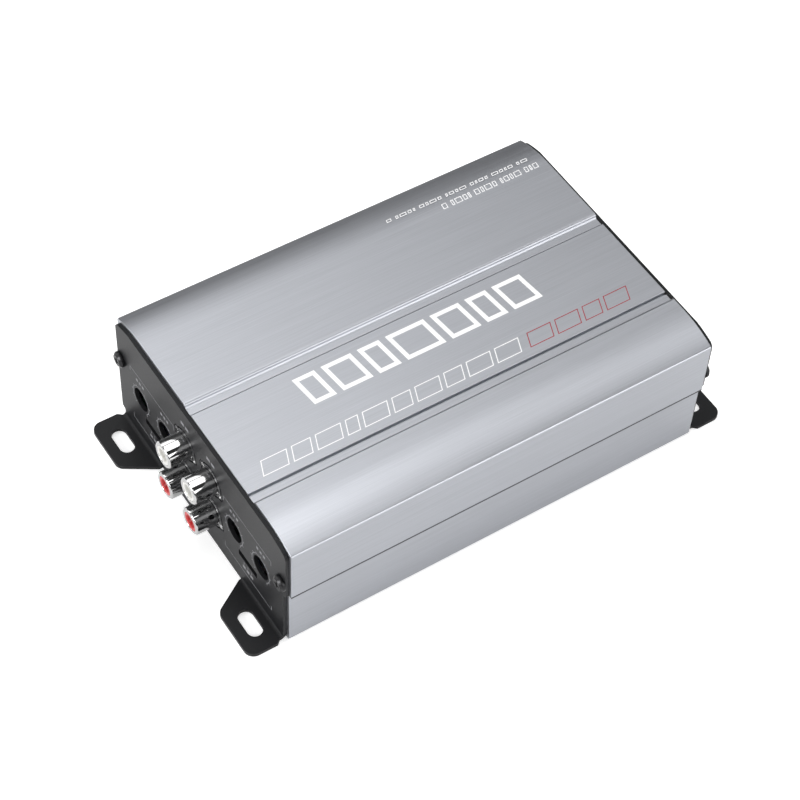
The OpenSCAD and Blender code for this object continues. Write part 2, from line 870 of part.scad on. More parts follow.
module harness_socket() {
    color(plastic_black)
    translate([0, -socket_y, socket_mid_z])
    difference() {
        union() {
            along_x(socket_back, socket_front - socket_back)
                round_rect(socket_out_w, socket_out_h, socket_r);
            block([socket_back, -socket_w / 2, board_top - socket_mid_z],
                  [hl - 2, socket_w / 2, -socket_out_h / 2 + 1]);
        }
        along_x(socket_back + socket_floor, socket_front)
            round_rect(socket_w, socket_h, 0.5);
        for (s = [-1, 1], n = [0:socket_cols - 1])
            translate([0, pin_y(n), s * pin_row])
                along_x(socket_back - 1, socket_floor + 2)
                    square(pin_t, center = true);
        block([socket_front - latch_l, -latch_w / 2, socket_h / 2 - 1],
              [socket_front + 1, latch_w / 2, socket_h / 2 + socket_t / 2]);
    }
}

// Place of pin n in its row, from the socket's middle
function pin_y(n) = (n - (socket_cols - 1) / 2) * socket_pitch;

module harness_pins() {
    front = socket_front - pin_recess;
    color(chrome)
    translate([0, -socket_y, socket_mid_z])
    for (s = [-1, 1], n = [0:socket_cols - 1]) {
        back = socket_back - pin_tail - (s + 1);
        drop = board_top - socket_mid_z - s * pin_row;
        translate([back, pin_y(n), s * pin_row]) {
            along_x(0, front - back)
                square(pin_t, center = true);
            translate([0, -pin_t / 2, drop])
                cube([pin_t, pin_t, pin_t / 2 - drop]);
        }
    }
}

module power_lamp() {
    rim_r = lamp_r + 0.4;
    rim_l = 0.9;
    lead_y = 0.9;
    lead_t = 0.5;
    lead_x = lamp_back - 1.4;
    color([0.55, 0.85, 0.60])
    translate([0, -lamp_y, 0]) {
        translate([0, 0, lamp_z]) {
            rod_x(lamp_back, plate_x - lamp_back, lamp_r);
            rod_x(lamp_back, rim_l, rim_r);
            translate([plate_x, 0, 0])
                intersection() {
                    sphere(lamp_r);
                    block([0, -lamp_r, -lamp_r], [lamp_r, lamp_r, lamp_r]);
                }
        }
        for (s = [-1, 1])
            translate([lead_x, s * lead_y - lead_t / 2, 0]) {
                block([0, 0, board_top], [lead_t, lead_t, lamp_z + lead_t / 2]);
                block([0, 0, lamp_z - lead_t / 2], [lamp_back - lead_x + 0.1, lead_t, lamp_z + lead_t / 2]);
            }
    }
}

// ---- Heat path and power devices ----

spreader_bite = 2.2;
spreader_screw_xs = [-30, 30];
spreader_screw_y = -spread_y + flange_w - 4.5;
leg_low = board_top + 5;
leg_in = -spread_y + spread_t;
chip_y = leg_in + strip_t;
clamp_y = chip_y + chip_t;
chip_low = board_top + 7;
clamp_z = chip_low + chip_h / 2;
clamp_screw_xs = [-34, -10, 13, 37];
clamp_lip_t = 0.8;
clamp_lip_w = 2;

module heat_spreader() {
    color([0.66, 0.66, 0.68])
    difference() {
        union() {
            block([-spread_l / 2, -spread_y, leg_low], [spread_l / 2, leg_in, roof_z]);
            block([-spread_l / 2, -spread_y, roof_z - spread_t],
                  [spread_l / 2, -spread_y + flange_w, roof_z]);
        }
        for (x = spreader_screw_xs)
            translate([x, spreader_screw_y, roof_z - spread_t - 1])
                cylinder(h = spread_t + 2, r = bore_r);
        for (x = clamp_screw_xs)
            translate([x, -spread_y - 1, clamp_z])
                rotate([-90, 0, 0])
                    cylinder(h = spread_t + 2, r = bore_r);
    }
}

module spreader_screws() {
    color(steel)
    for (x = spreader_screw_xs)
        translate([x, spreader_screw_y, roof_z - spread_t])
            rotate([180, 0, 0])
                pan_screw(spread_t + spreader_bite - 0.3);
}

module thermal_strip() {
    color([0.70, 0.72, 0.75])
    difference() {
        block([-spread_l / 2 + 2, leg_in, chip_low - 1], [spread_l / 2 - 2, chip_y, chip_low + chip_h + 1]);
        for (x = clamp_screw_xs)
            translate([x, leg_in - 1, clamp_z])
                rotate([-90, 0, 0])
                    cylinder(h = strip_t + 2, r = bore_r);
    }
}

// Places and widths of the four power devices: two output chips, two supply transistors
package_xs = [-22, 1.5, 20, 31];
package_ws = [20, 19, 10, 8];
chip_legs = 13;
chip_pitch = 1.4;
transistor_legs = 3;
transistor_pitch = 2.54;
leg_w = 0.7;
leg_t = 0.5;

// Power device n, with a row of legs down to the board
module power_package(n, legs, pitch) {
    leg_y = (chip_y + clamp_y) / 2;
    w = package_ws[n];
    color(plastic_black)
    translate([package_xs[n], 0, 0]) {
        block([-w / 2, chip_y, chip_low], [w / 2, clamp_y, chip_low + chip_h]);
        for (leg = [0:legs - 1])
            translate([(leg - (legs - 1) / 2) * pitch, 0, 0])
                block([-leg_w / 2, leg_y - leg_t / 2, board_top],
                      [leg_w / 2, leg_y + leg_t / 2, chip_low + eps]);
    }
}

module clamp_bar() {
    color(steel)
    difference() {
        union() {
            block([-spread_l / 2 + 2, clamp_y, clamp_z - clamp_h / 2],
                  [spread_l / 2 - 2, clamp_y + clamp_t, clamp_z + clamp_h / 2]);
            block([-spread_l / 2 + 2, clamp_y, clamp_z + clamp_h / 2 - clamp_lip_t],
                  [spread_l / 2 - 2, clamp_y + clamp_t + clamp_lip_w, clamp_z + clamp_h / 2]);
        }
        for (x = clamp_screw_xs)
            translate([x, clamp_y - 1, clamp_z])
                rotate([-90, 0, 0])
                    cylinder(h = clamp_t + 4, r = bore_r);
    }
}

module clamp_screws() {
    color(steel)
    for (x = clamp_screw_xs)
        translate([x, clamp_y + clamp_t, clamp_z])
            rotate([-90, 0, 0])
                pan_screw(clamp_t + chip_t + strip_t + spread_t - 0.5);
}

// ---- Magnetics and capacitors ----

transformer_at = [2, 12];
choke_at = [32, 28];
coil_xs = [-36, -26, -14, -4];
coil_y = -18;
capacitor_at = [[24, -14], [40, -14], [40, 3]];
// Openings between the two ends of each winding
transformer_open_w = 5;
choke_open_w = 4;

// A ring with a rectangular section, standing up from z = low to z = high
module flat_ring(at, r_out, r_in, low, high) {
    translate([at[0], at[1], low])
        difference() {
            cylinder(h = high - low, r = r_out);
            translate([0, 0, -1])
                cylinder(h = high - low + 2, r = r_in);
        }
}

// A toroid's winding: a ring of thickness t round the core, open over a narrow wedge
module toroid_winding(at, r_out, r_in, high, t, open_w) {
    difference() {
        flat_ring(at, r_out + t, r_in - t, board_top, board_top + high + 2 * t);
        flat_ring(at, r_out, r_in, board_top + t, board_top + high + t);
        block([at[0], at[1] - open_w / 2, board_top - 1],
              [at[0] + r_out + t + 1, at[1] + open_w / 2, board_top + high + 2 * t + 1]);
    }
}

module transformer_core() {
    low = board_top + transformer_wire_t;
    color(ferrite)
    flat_ring(transformer_at, transformer_r, transformer_in_r, low, low + transformer_h);
}

module transformer_winding() {
    color(copper)
    toroid_winding(transformer_at, transformer_r, transformer_in_r, transformer_h,
                   transformer_wire_t, transformer_open_w);
}

module choke_core() {
    low = board_top + choke_wire_t;
    color([0.80, 0.74, 0.30])
    flat_ring(choke_at, choke_r, choke_in_r, low, low + choke_h);
}

module choke_winding() {
    color(copper)
    toroid_winding(choke_at, choke_r, choke_in_r, choke_h, choke_wire_t, choke_open_w);
}

// A shielded power inductor with chamfered corners and a terminal strip underneath
module output_coil(n) {
    cut = 1.6;
    half = coil_w / 2;
    lid_r = 3.4;
    strip_w = 2.4;
    strip_h = 0.6;
    color(ferrite)
    translate([coil_xs[n], coil_y, board_top])
        difference() {
            linear_extrude(coil_w)
                polygon([[half, half - cut], [half - cut, half], [cut - half, half], [-half, half - cut],
                         [-half, cut - half], [cut - half, -half], [half - cut, -half], [half, cut - half]]);
            translate([0, 0, coil_w - 1])
                cylinder(h = 2, r = lid_r);
            translate([0, 0, -1])
                linear_extrude(1 + strip_h)
                    square([strip_w, coil_w + 1], center = true);
        }
}

// An aluminium can in its sleeve, with a bead near its foot and a dished top
module reservoir_capacitor(n) {
    bead = 0.5;
    bead_z = 1.4;
    rim = 0.8;
    dish = 0.3;
    color([0.13, 0.15, 0.22])
    translate([capacitor_at[n][0], capacitor_at[n][1], board_top])
        rotate_extrude()
            polygon([[0, 0], [can_r, 0], [can_r, bead_z], [can_r - bead, bead_z + bead],
                     [can_r - bead, bead_z + 2 * bead], [can_r, bead_z + 3 * bead],
                     [can_r, can_h - rim], [can_r - rim, can_h], [can_r - 2 * rim, can_h],
                     [can_r - 2 * rim - dish, can_h - dish], [0, can_h - dish]]);
}

top_heatsink();
base_tray();
control_end_plate();
power_end_plate();
control_plate_screws();
power_plate_screws();
circuit_board();
board_screws();
jack_housing();
jack_shell(jack_ys[0], jack_zs[0]);  // jack_shell_1
jack_shell(jack_ys[1], jack_zs[0]);  // jack_shell_2
jack_shell(jack_ys[0], jack_zs[1]);  // jack_shell_3
jack_shell(jack_ys[1], jack_zs[1]);  // jack_shell_4
jack_insulator(jack_ys[0], jack_zs[0], insulator_white);  // jack_insulator_1
jack_insulator(jack_ys[1], jack_zs[0], insulator_white);  // jack_insulator_2
jack_insulator(jack_ys[0], jack_zs[1], insulator_red);  // jack_insulator_3
jack_insulator(jack_ys[1], jack_zs[1], insulator_red);  // jack_insulator_4
jack_contact(jack_ys[0], jack_zs[0]);  // jack_contact_1
jack_contact(jack_ys[1], jack_zs[0]);  // jack_contact_2
jack_contact(jack_ys[0], jack_zs[1]);  // jack_contact_3
jack_contact(jack_ys[1], jack_zs[1]);  // jack_contact_4
pot_body(mid_y[1]);  // level_body_a
pot_body(mid_y[0]);  // filter_body_a
pot_body(-mid_y[0]);  // filter_body_b
pot_body(-mid_y[1]);  // level_body_b
pot_rotor(mid_y[1]);  // level_rotor_a
pot_rotor(mid_y[0]);  // filter_rotor_a
pot_rotor(-mid_y[0]);  // filter_rotor_b
pot_rotor(-mid_y[1]);  // level_rotor_b
switch_body(lever_y);  // switch_body_a
switch_body(-lever_y);  // switch_body_b
switch_lever(lever_y);  // switch_lever_a
switch_lever(-lever_y);  // switch_lever_b
fuse_holder();
fuse_case();
fuse_link();
harness_socket();
harness_pins();
power_lamp();
heat_spreader();
spreader_screws();
thermal_strip();
power_package(0, chip_legs, chip_pitch);  // output_chip_a
power_package(1, chip_legs, chip_pitch);  // output_chip_b
power_package(2, transistor_legs, transistor_pitch);  // supply_transistor_a
power_package(3, transistor_legs, transistor_pitch);  // supply_transistor_b
clamp_bar();
clamp_screws();
transformer_core();
transformer_winding();
choke_core();
choke_winding();
output_coil(0);  // output_coil_1
output_coil(1);  // output_coil_2
output_coil(2);  // output_coil_3
output_coil(3);  // output_coil_4
reservoir_capacitor(0);  // reservoir_capacitor_1
reservoir_capacitor(1);  // reservoir_capacitor_2
reservoir_capacitor(2);  // reservoir_capacitor_3
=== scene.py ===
"""Looks of a compact car amplifier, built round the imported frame. Lengths are in metres."""

import json
import logging
import math
from dataclasses import dataclass, field
from enum import Enum
from typing import Callable, Sequence

import bmesh
import bpy
from mathutils import Matrix, Vector


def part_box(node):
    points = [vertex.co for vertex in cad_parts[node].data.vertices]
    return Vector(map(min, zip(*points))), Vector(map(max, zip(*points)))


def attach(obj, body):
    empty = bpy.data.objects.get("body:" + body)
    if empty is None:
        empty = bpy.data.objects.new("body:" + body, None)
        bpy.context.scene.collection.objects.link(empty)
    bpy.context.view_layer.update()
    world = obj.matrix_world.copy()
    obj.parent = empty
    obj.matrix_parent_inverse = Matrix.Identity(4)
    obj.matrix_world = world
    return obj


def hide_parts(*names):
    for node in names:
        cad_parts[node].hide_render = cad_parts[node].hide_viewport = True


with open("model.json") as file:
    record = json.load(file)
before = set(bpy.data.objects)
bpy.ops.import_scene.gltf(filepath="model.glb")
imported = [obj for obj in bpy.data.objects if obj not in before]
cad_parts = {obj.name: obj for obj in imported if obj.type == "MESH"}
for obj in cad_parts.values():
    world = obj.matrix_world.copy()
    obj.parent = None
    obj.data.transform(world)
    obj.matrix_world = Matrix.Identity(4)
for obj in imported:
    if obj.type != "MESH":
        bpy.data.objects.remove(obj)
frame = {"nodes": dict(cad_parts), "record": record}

LOG = logging.getLogger("amplifier")
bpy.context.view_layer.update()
MM = 0.001
WELD = 2e-6
FLAT_ANGLE = math.radians(0.6)
Colour = tuple[float, float, float]
Pair = tuple[float, float]
Place = tuple[float, float, float]

# Sockets of a Mix node that mixes colours
MIX_SHARE, MIX_FIRST, MIX_SECOND, MIX_RESULT = 0, 6, 7, 2

# Brush lines: repeats per metre along and across them, and scales of their layers
BRUSH_ALONG, BRUSH_ACROSS = 12.0, 1500.0
BRUSH_FINE, BRUSH_MEDIUM, BRUSH_BROAD = 2.2, 0.8, 0.16
BRUSH_FINE_SHARE = 0.6

# Scales of the other shared effects, per metre
PATCH_SCALE, SPECK_SCALE = 28.0, 900.0
PATCH_EDGES = (0.45, 0.75)
TURN_TONE_SCALE = 260.0

# Roughness that a rubbed patch adds
RUBBED_ROUGHNESS = 0.15


def body_holding(node: str) -> str:
    """Finds the body that a CAD node belongs to.

    Args:
        node: Name of the CAD node.

    Returns:
        The name of its body.
    """
    bodies = frame["record"]["behaviour"]["bodies"]
    return next(name for name, members in bodies.items() if node in members)


def slot_of(node: str) -> str:
    """Gives the record's material slot of a CAD node."""
    return next(s["material_slot"] for s in frame["record"]["subparts"] if s["node"] == node)


# ---- Node trees ----


@dataclass
class Wiring:
    """A node tree that is being filled in."""

    tree: bpy.types.NodeTree

    def add(self, kind: str, **settings: object) -> bpy.types.Node:
        """Adds a node and sets its properties.

        Args:
            kind: Node type, such as ShaderNodeMath.
            **settings: Properties of the node.

        Returns:
            The new node.
        """
        node = self.tree.nodes.new(kind)
        for name, value in settings.items():
            setattr(node, name, value)
        return node

    def join(self, out: bpy.types.NodeSocket, into: bpy.types.NodeSocket) -> None:
        """Links an output to an input."""
        self.tree.links.new(out, into)

    def maths(
        self, how: str, a: object, b: object = 0.0, clamp: bool = False
    ) -> bpy.types.NodeSocket:
        """Adds a Math node.

        Args:
            how: Its operation.
            a: First value or socket.
            b: Second value or socket.
            clamp: Whether the result is kept between 0 and 1.

        Returns:
            The result's socket.
        """
        node = self.add("ShaderNodeMath", operation=how, use_clamp=clamp)
        for socket, value in zip(node.inputs, (a, b)):
            self.feed(value, socket)
        return node.outputs[0]

    def feed(self, value: object, socket: bpy.types.NodeSocket) -> None:
        """Links a socket, or sets a plain value.

        Args:
            value: The socket or the value.
            socket: The input that takes it.
        """
        if isinstance(value, bpy.types.NodeSocket):
            self.join(value, socket)
        else:
            socket.default_value = value

    def blend(self, share: object, a: object, b: object) -> bpy.types.NodeSocket:
        """Mixes two colours.

        Args:
            share: Share of the second colour.
            a: First colour or socket.
            b: Second colour or socket.

        Returns:
            The mixed colour's socket.
        """
        node = self.add("ShaderNodeMix", data_type="RGBA")
        for index, value in ((MIX_SHARE, share), (MIX_FIRST, a), (MIX_SECOND, b)):
            self.feed((*value, 1.0) if isinstance(value, tuple) else value, node.inputs[index])
        return node.outputs[MIX_RESULT]

    def spread(self, value: object, low: float, high: float) -> bpy.types.NodeSocket:
        """Maps 0 to 1 onto a range.

        Args:
            value: Socket with a value from 0 to 1.
            low: Result at 0.
            high: Result at 1.

        Returns:
            The result's socket.
        """
        node = self.add("ShaderNodeMapRange")
        self.feed(value, node.inputs["Value"])
        node.inputs["To Min"].default_value = low
        node.inputs["To Max"].default_value = high
        return node.outputs[0]

    def noise(
        self, place: bpy.types.NodeSocket, scale: object, detail: float
    ) -> bpy.types.NodeSocket:
        """Adds a Noise texture.

        Args:
            place: Coordinates that it follows.
            scale: Its scale, as a value or a socket.
            detail: Its detail.

        Returns:
            The socket of its value.
        """
        node = self.add("ShaderNodeTexNoise")
        self.join(place, node.inputs["Vector"])
        self.feed(scale, node.inputs["Scale"])
        node.inputs["Detail"].default_value = detail
        return node.outputs["Fac"]


def effect_group(
    name: str, inputs: Sequence[tuple[str, str, object]], outputs: Sequence[tuple[str, str]]
) -> tuple[Wiring, bpy.types.Node, bpy.types.Node]:
    """Starts a node group with its sockets.

    Args:
        name: The group's name.
        inputs: Name, socket type and default of each input.
        outputs: Name and socket type of each output.

    Returns:
        The wiring of the group, its input node and its output node.
    """
    tree = bpy.data.node_groups.new(name, "ShaderNodeTree")
    for label, kind, value in inputs:
        socket = tree.interface.new_socket(name=label, in_out="INPUT", socket_type=kind)
        if value is not None:
            socket.default_value = value
    for label, kind in outputs:
        tree.interface.new_socket(name=label, in_out="OUTPUT", socket_type=kind)
    wiring = Wiring(tree)
    return wiring, wiring.add("NodeGroupInput"), wiring.add("NodeGroupOutput")


def brushed_lines_group() -> bpy.types.NodeTree:
    """Builds the effect of fine parallel brush lines along X.

    Returns:
        A group with a line pattern, broad bands and a height.
    """
    w, start, end = effect_group(
        "brushed_lines",
        [("Place", "NodeSocketVector", None), ("Fineness", "NodeSocketFloat", 1.0)],
        [(label, "NodeSocketFloat") for label in ("Lines", "Bands", "Height")],
    )
    across = w.add("ShaderNodeVectorMath", operation="MULTIPLY")
    w.join(start.outputs["Place"], across.inputs[0])
    size = w.add("ShaderNodeCombineXYZ")
    for axis, repeats in enumerate((BRUSH_ALONG, BRUSH_ACROSS, BRUSH_ACROSS)):
        w.join(w.maths("MULTIPLY", start.outputs["Fineness"], repeats), size.inputs[axis])
    w.join(size.outputs[0], across.inputs[1])
    fine = w.noise(across.outputs[0], BRUSH_FINE, detail=2.0)
    medium = w.noise(across.outputs[0], BRUSH_MEDIUM, detail=1.0)
    broad = w.noise(across.outputs[0], BRUSH_BROAD, detail=1.0)
    lines = w.maths(
        "ADD",
        w.maths("MULTIPLY", fine, BRUSH_FINE_SHARE),
        w.maths("MULTIPLY", medium, 1.0 - BRUSH_FINE_SHARE),
    )
    w.join(lines, end.inputs["Lines"])
    w.join(broad, end.inputs["Bands"])
    w.join(lines, end.inputs["Height"])
    return w.tree


def fine_grain_group() -> bpy.types.NodeTree:
    """Builds the effect of a sprayed or moulded skin.

    Returns:
        A group with small grains and their height.
    """
    w, start, end = effect_group(
        "fine_grain",
        [("Place", "NodeSocketVector", None), ("Size", "NodeSocketFloat", 2500.0)],
        [("Grains", "NodeSocketFloat"), ("Height", "NodeSocketFloat")],
    )
    grains = w.noise(start.outputs["Place"], start.outputs["Size"], detail=3.0)
    w.join(grains, end.inputs["Grains"])
    w.join(grains, end.inputs["Height"])
    return w.tree


def handling_group() -> bpy.types.NodeTree:
    """Builds the effect of dust and faint rubbed patches.

    Returns:
        A group with one mask.
    """
    w, start, end = effect_group(
        "handling",
        [("Place", "NodeSocketVector", None), ("Amount", "NodeSocketFloat", 0.5)],
        [("Mask", "NodeSocketFloat")],
    )
    patches = w.noise(start.outputs["Place"], PATCH_SCALE, detail=4.0)
    specks = w.noise(start.outputs["Place"], SPECK_SCALE, detail=2.0)
    rubbed = w.add("ShaderNodeMapRange", interpolation_type="SMOOTHSTEP")
    w.join(patches, rubbed.inputs["Value"])
    for label, edge in zip(("From Min", "From Max"), PATCH_EDGES):
        rubbed.inputs[label].default_value = edge
    broken = w.maths("MULTIPLY", rubbed.outputs[0], specks)
    w.join(w.maths("MULTIPLY", broken, start.outputs["Amount"]), end.inputs["Mask"])
    return w.tree


def wound_wire_group() -> bpy.types.NodeTree:
    """Builds the effect of wire wound side by side round a ring that stands on Z.

    Returns:
        A group with the turns' height and a tone that changes from turn to turn.
    """
    w, start, end = effect_group(
        "wound_wire",
        [("Place", "NodeSocketVector", None), ("Turns", "NodeSocketFloat", 40.0)],
        [("Height", "NodeSocketFloat"), ("Tone", "NodeSocketFloat")],
    )
    parts = w.add("ShaderNodeSeparateXYZ")
    w.join(start.outputs["Place"], parts.inputs[0])
    turn = w.maths("ARCTAN2", parts.outputs["Y"], parts.outputs["X"])
    phase = w.maths("MULTIPLY", turn, start.outputs["Turns"])
    w.join(w.maths("ABSOLUTE", w.maths("SINE", phase)), end.inputs["Height"])
    tone = w.noise(start.outputs["Place"], TURN_TONE_SCALE, detail=2.0)
    w.join(tone, end.inputs["Tone"])
    return w.tree


class Skin(Enum):
    """How a surface is finished."""

    BRUSHED = "brushed_lines"
    GRAINED = "fine_grain"
    WOUND = "wound_wire"


@dataclass
class Effects:
    """The shared effects, each built once."""

    groups: dict[str, bpy.types.NodeTree] = field(default_factory=dict)

    def build(self) -> None:
        """Builds every group."""
        for make in (brushed_lines_group, fine_grain_group, handling_group, wound_wire_group):
            tree = make()
            self.groups[tree.name] = tree

    def place(
        self, w: Wiring, name: str, place: bpy.types.NodeSocket, amount: float
    ) -> bpy.types.Node:
        """Puts a group into a material.

        Args:
            w: The material's wiring.
            name: The group's name.
            place: Coordinates that the effect follows.
            amount: Value of the group's second input.

        Returns:
            The group node.
        """
        node = w.add("ShaderNodeGroup", node_tree=self.groups[name])
        w.join(place, node.inputs[0])
        node.inputs[1].default_value = amount
        return node


EFFECTS = Effects()


@dataclass(frozen=True)
class Finish:
    """A surface finish, with its colour and how it varies."""

    name: str
    dark: Colour
    light: Colour
    rough: Pair
    skin: Skin = Skin.GRAINED
    size: float = 2500.0
    metallic: float = 0.0
    bump: float = 0.1
    bump_depth: float = 0.00002
    wear: float = 0.25
    worn: Colour = (0.55, 0.55, 0.56)
    coat: float = 0.0
    shine: float = 0.5
    transmission: float = 0.0
    centre: Place = (0.0, 0.0, 0.0)

    def material(self) -> bpy.types.Material:
        """Builds the finish, or gives the one already built.

        Returns:
            The material.
        """
        made = bpy.data.materials.get(self.name)
        if made is not None:
            return made
        made = bpy.data.materials.new(self.name)
        made.use_nodes = True
        made.node_tree.nodes.clear()
        w = Wiring(made.node_tree)
        shader = w.add("ShaderNodeBsdfPrincipled")
        output = w.add("ShaderNodeOutputMaterial")
        w.join(shader.outputs[0], output.inputs["Surface"])
        where = w.add("ShaderNodeMapping")
        where.inputs["Location"].default_value = tuple(-c for c in self.centre)
        w.join(w.add("ShaderNodeTexCoord").outputs["Object"], where.inputs["Vector"])
        place = where.outputs[0]
        skin = EFFECTS.place(w, self.skin.value, place, self.size)
        handling = EFFECTS.place(w, "handling", place, self.wear)
        shader.inputs["Metallic"].default_value = self.metallic
        shader.inputs["Coat Weight"].default_value = self.coat
        shader.inputs["Specular IOR Level"].default_value = self.shine
        shader.inputs["Transmission Weight"].default_value = self.transmission
        self.dress(w, shader, skin, handling.outputs["Mask"])
        return made

    def dress(
        self, w: Wiring, shader: bpy.types.Node, skin: bpy.types.Node, rubbed: bpy.types.NodeSocket
    ) -> None:
        """Feeds the shader's colour, roughness and normal.

        Args:
            w: The material's wiring.
            shader: The Principled shader.
            skin: The skin's group node.
            rubbed: Mask of dust and rubbed patches.
        """
        tone = skin.outputs["Tone"] if self.skin is Skin.WOUND else skin.outputs[0]
        base = w.blend(tone, self.dark, self.light)
        w.join(w.blend(rubbed, base, self.worn), shader.inputs["Base Color"])
        duller = w.maths("MULTIPLY", rubbed, RUBBED_ROUGHNESS)
        rough = w.maths("ADD", w.spread(tone, *self.rough), duller, clamp=True)
        w.join(rough, shader.inputs["Roughness"])
        self.emboss(w, shader, skin.outputs["Height"])

    def emboss(self, w: Wiring, shader: bpy.types.Node, height: bpy.types.NodeSocket) -> None:
        """Adds the bump of the skin.

        Args:
            w: The material's wiring.
            shader: The Principled shader.
            height: Socket of the skin's height.
        """
        bump = w.add("ShaderNodeBump")
        bump.inputs["Strength"].default_value = self.bump
        bump.inputs["Distance"].default_value = self.bump_depth
        w.join(height, bump.inputs["Height"])
        w.join(bump.outputs[0], shader.inputs["Normal"])


@dataclass(frozen=True)
class BrushedFinish(Finish):
    """Anodised aluminium, brushed along X."""

    band_share: float = 0.35
    contrast: Pair = (0.3, 0.7)

    def dress(
        self, w: Wiring, shader: bpy.types.Node, skin: bpy.types.Node, rubbed: bpy.types.NodeSocket
    ) -> None:
        """Feeds the shader from brush lines and broad bands.

        Args:
            w: The material's wiring.
            shader: The Principled shader.
            skin: The skin's group node.
            rubbed: Mask of dust and rubbed patches.
        """
        lines = w.maths("MULTIPLY", skin.outputs["Lines"], 1 - self.band_share)
        bands = w.maths("MULTIPLY", skin.outputs["Bands"], self.band_share)
        sharp = w.add("ShaderNodeMapRange", clamp=True)
        w.join(w.maths("ADD", lines, bands), sharp.inputs["Value"])
        for label, edge in zip(("From Min", "From Max"), self.contrast):
            sharp.inputs[label].default_value = edge
        base = w.blend(sharp.outputs[0], self.dark, self.light)
        w.join(w.blend(rubbed, base, self.worn), shader.inputs["Base Color"])
        w.join(w.spread(sharp.outputs[0], *self.rough), shader.inputs["Roughness"])
        self.emboss(w, shader, skin.outputs["Height"])


@dataclass(frozen=True)
class BoardFinish(Finish):
    """Solder mask over copper tracks, with plated pads."""

    track: Colour = (0.045, 0.17, 0.075)
    track_scale: float = 150.0
    track_width: float = 0.05
    track_shift: float = 0.37
    pad: Colour = (0.62, 0.60, 0.55)
    pad_scale: float = 220.0
    pad_reach: float = 0.16

    def dress(
        self, w: Wiring, shader: bpy.types.Node, skin: bpy.types.Node, rubbed: bpy.types.NodeSocket
    ) -> None:
        """Feeds the shader from a pattern of tracks and pads.

        Args:
            w: The material's wiring.
            shader: The Principled shader.
            skin: The skin's group node.
            rubbed: Mask of dust and rubbed patches.
        """
        place = w.add("ShaderNodeTexCoord").outputs["Object"]
        cells = w.add("ShaderNodeTexVoronoi", distance="CHEBYCHEV")
        cells.inputs["Scale"].default_value = self.pad_scale
        w.join(place, cells.inputs["Vector"])
        pads = w.maths("LESS_THAN", cells.outputs["Distance"], self.pad_reach)
        tracks = w.add("ShaderNodeTexBrick", offset=self.track_shift)
        tracks.inputs["Scale"].default_value = self.track_scale
        tracks.inputs["Mortar Size"].default_value = self.track_width
        w.join(place, tracks.inputs["Vector"])
        mask = w.blend(skin.outputs[0], self.dark, self.light)
        base = w.blend(pads, w.blend(tracks.outputs["Fac"], mask, self.track), self.pad)
        w.join(w.blend(rubbed, base, self.worn), shader.inputs["Base Color"])
        w.join(pads, shader.inputs["Metallic"])
        w.join(w.spread(skin.outputs[0], *self.rough), shader.inputs["Roughness"])
        self.emboss(w, shader, w.maths("ADD", tracks.outputs["Fac"], pads))


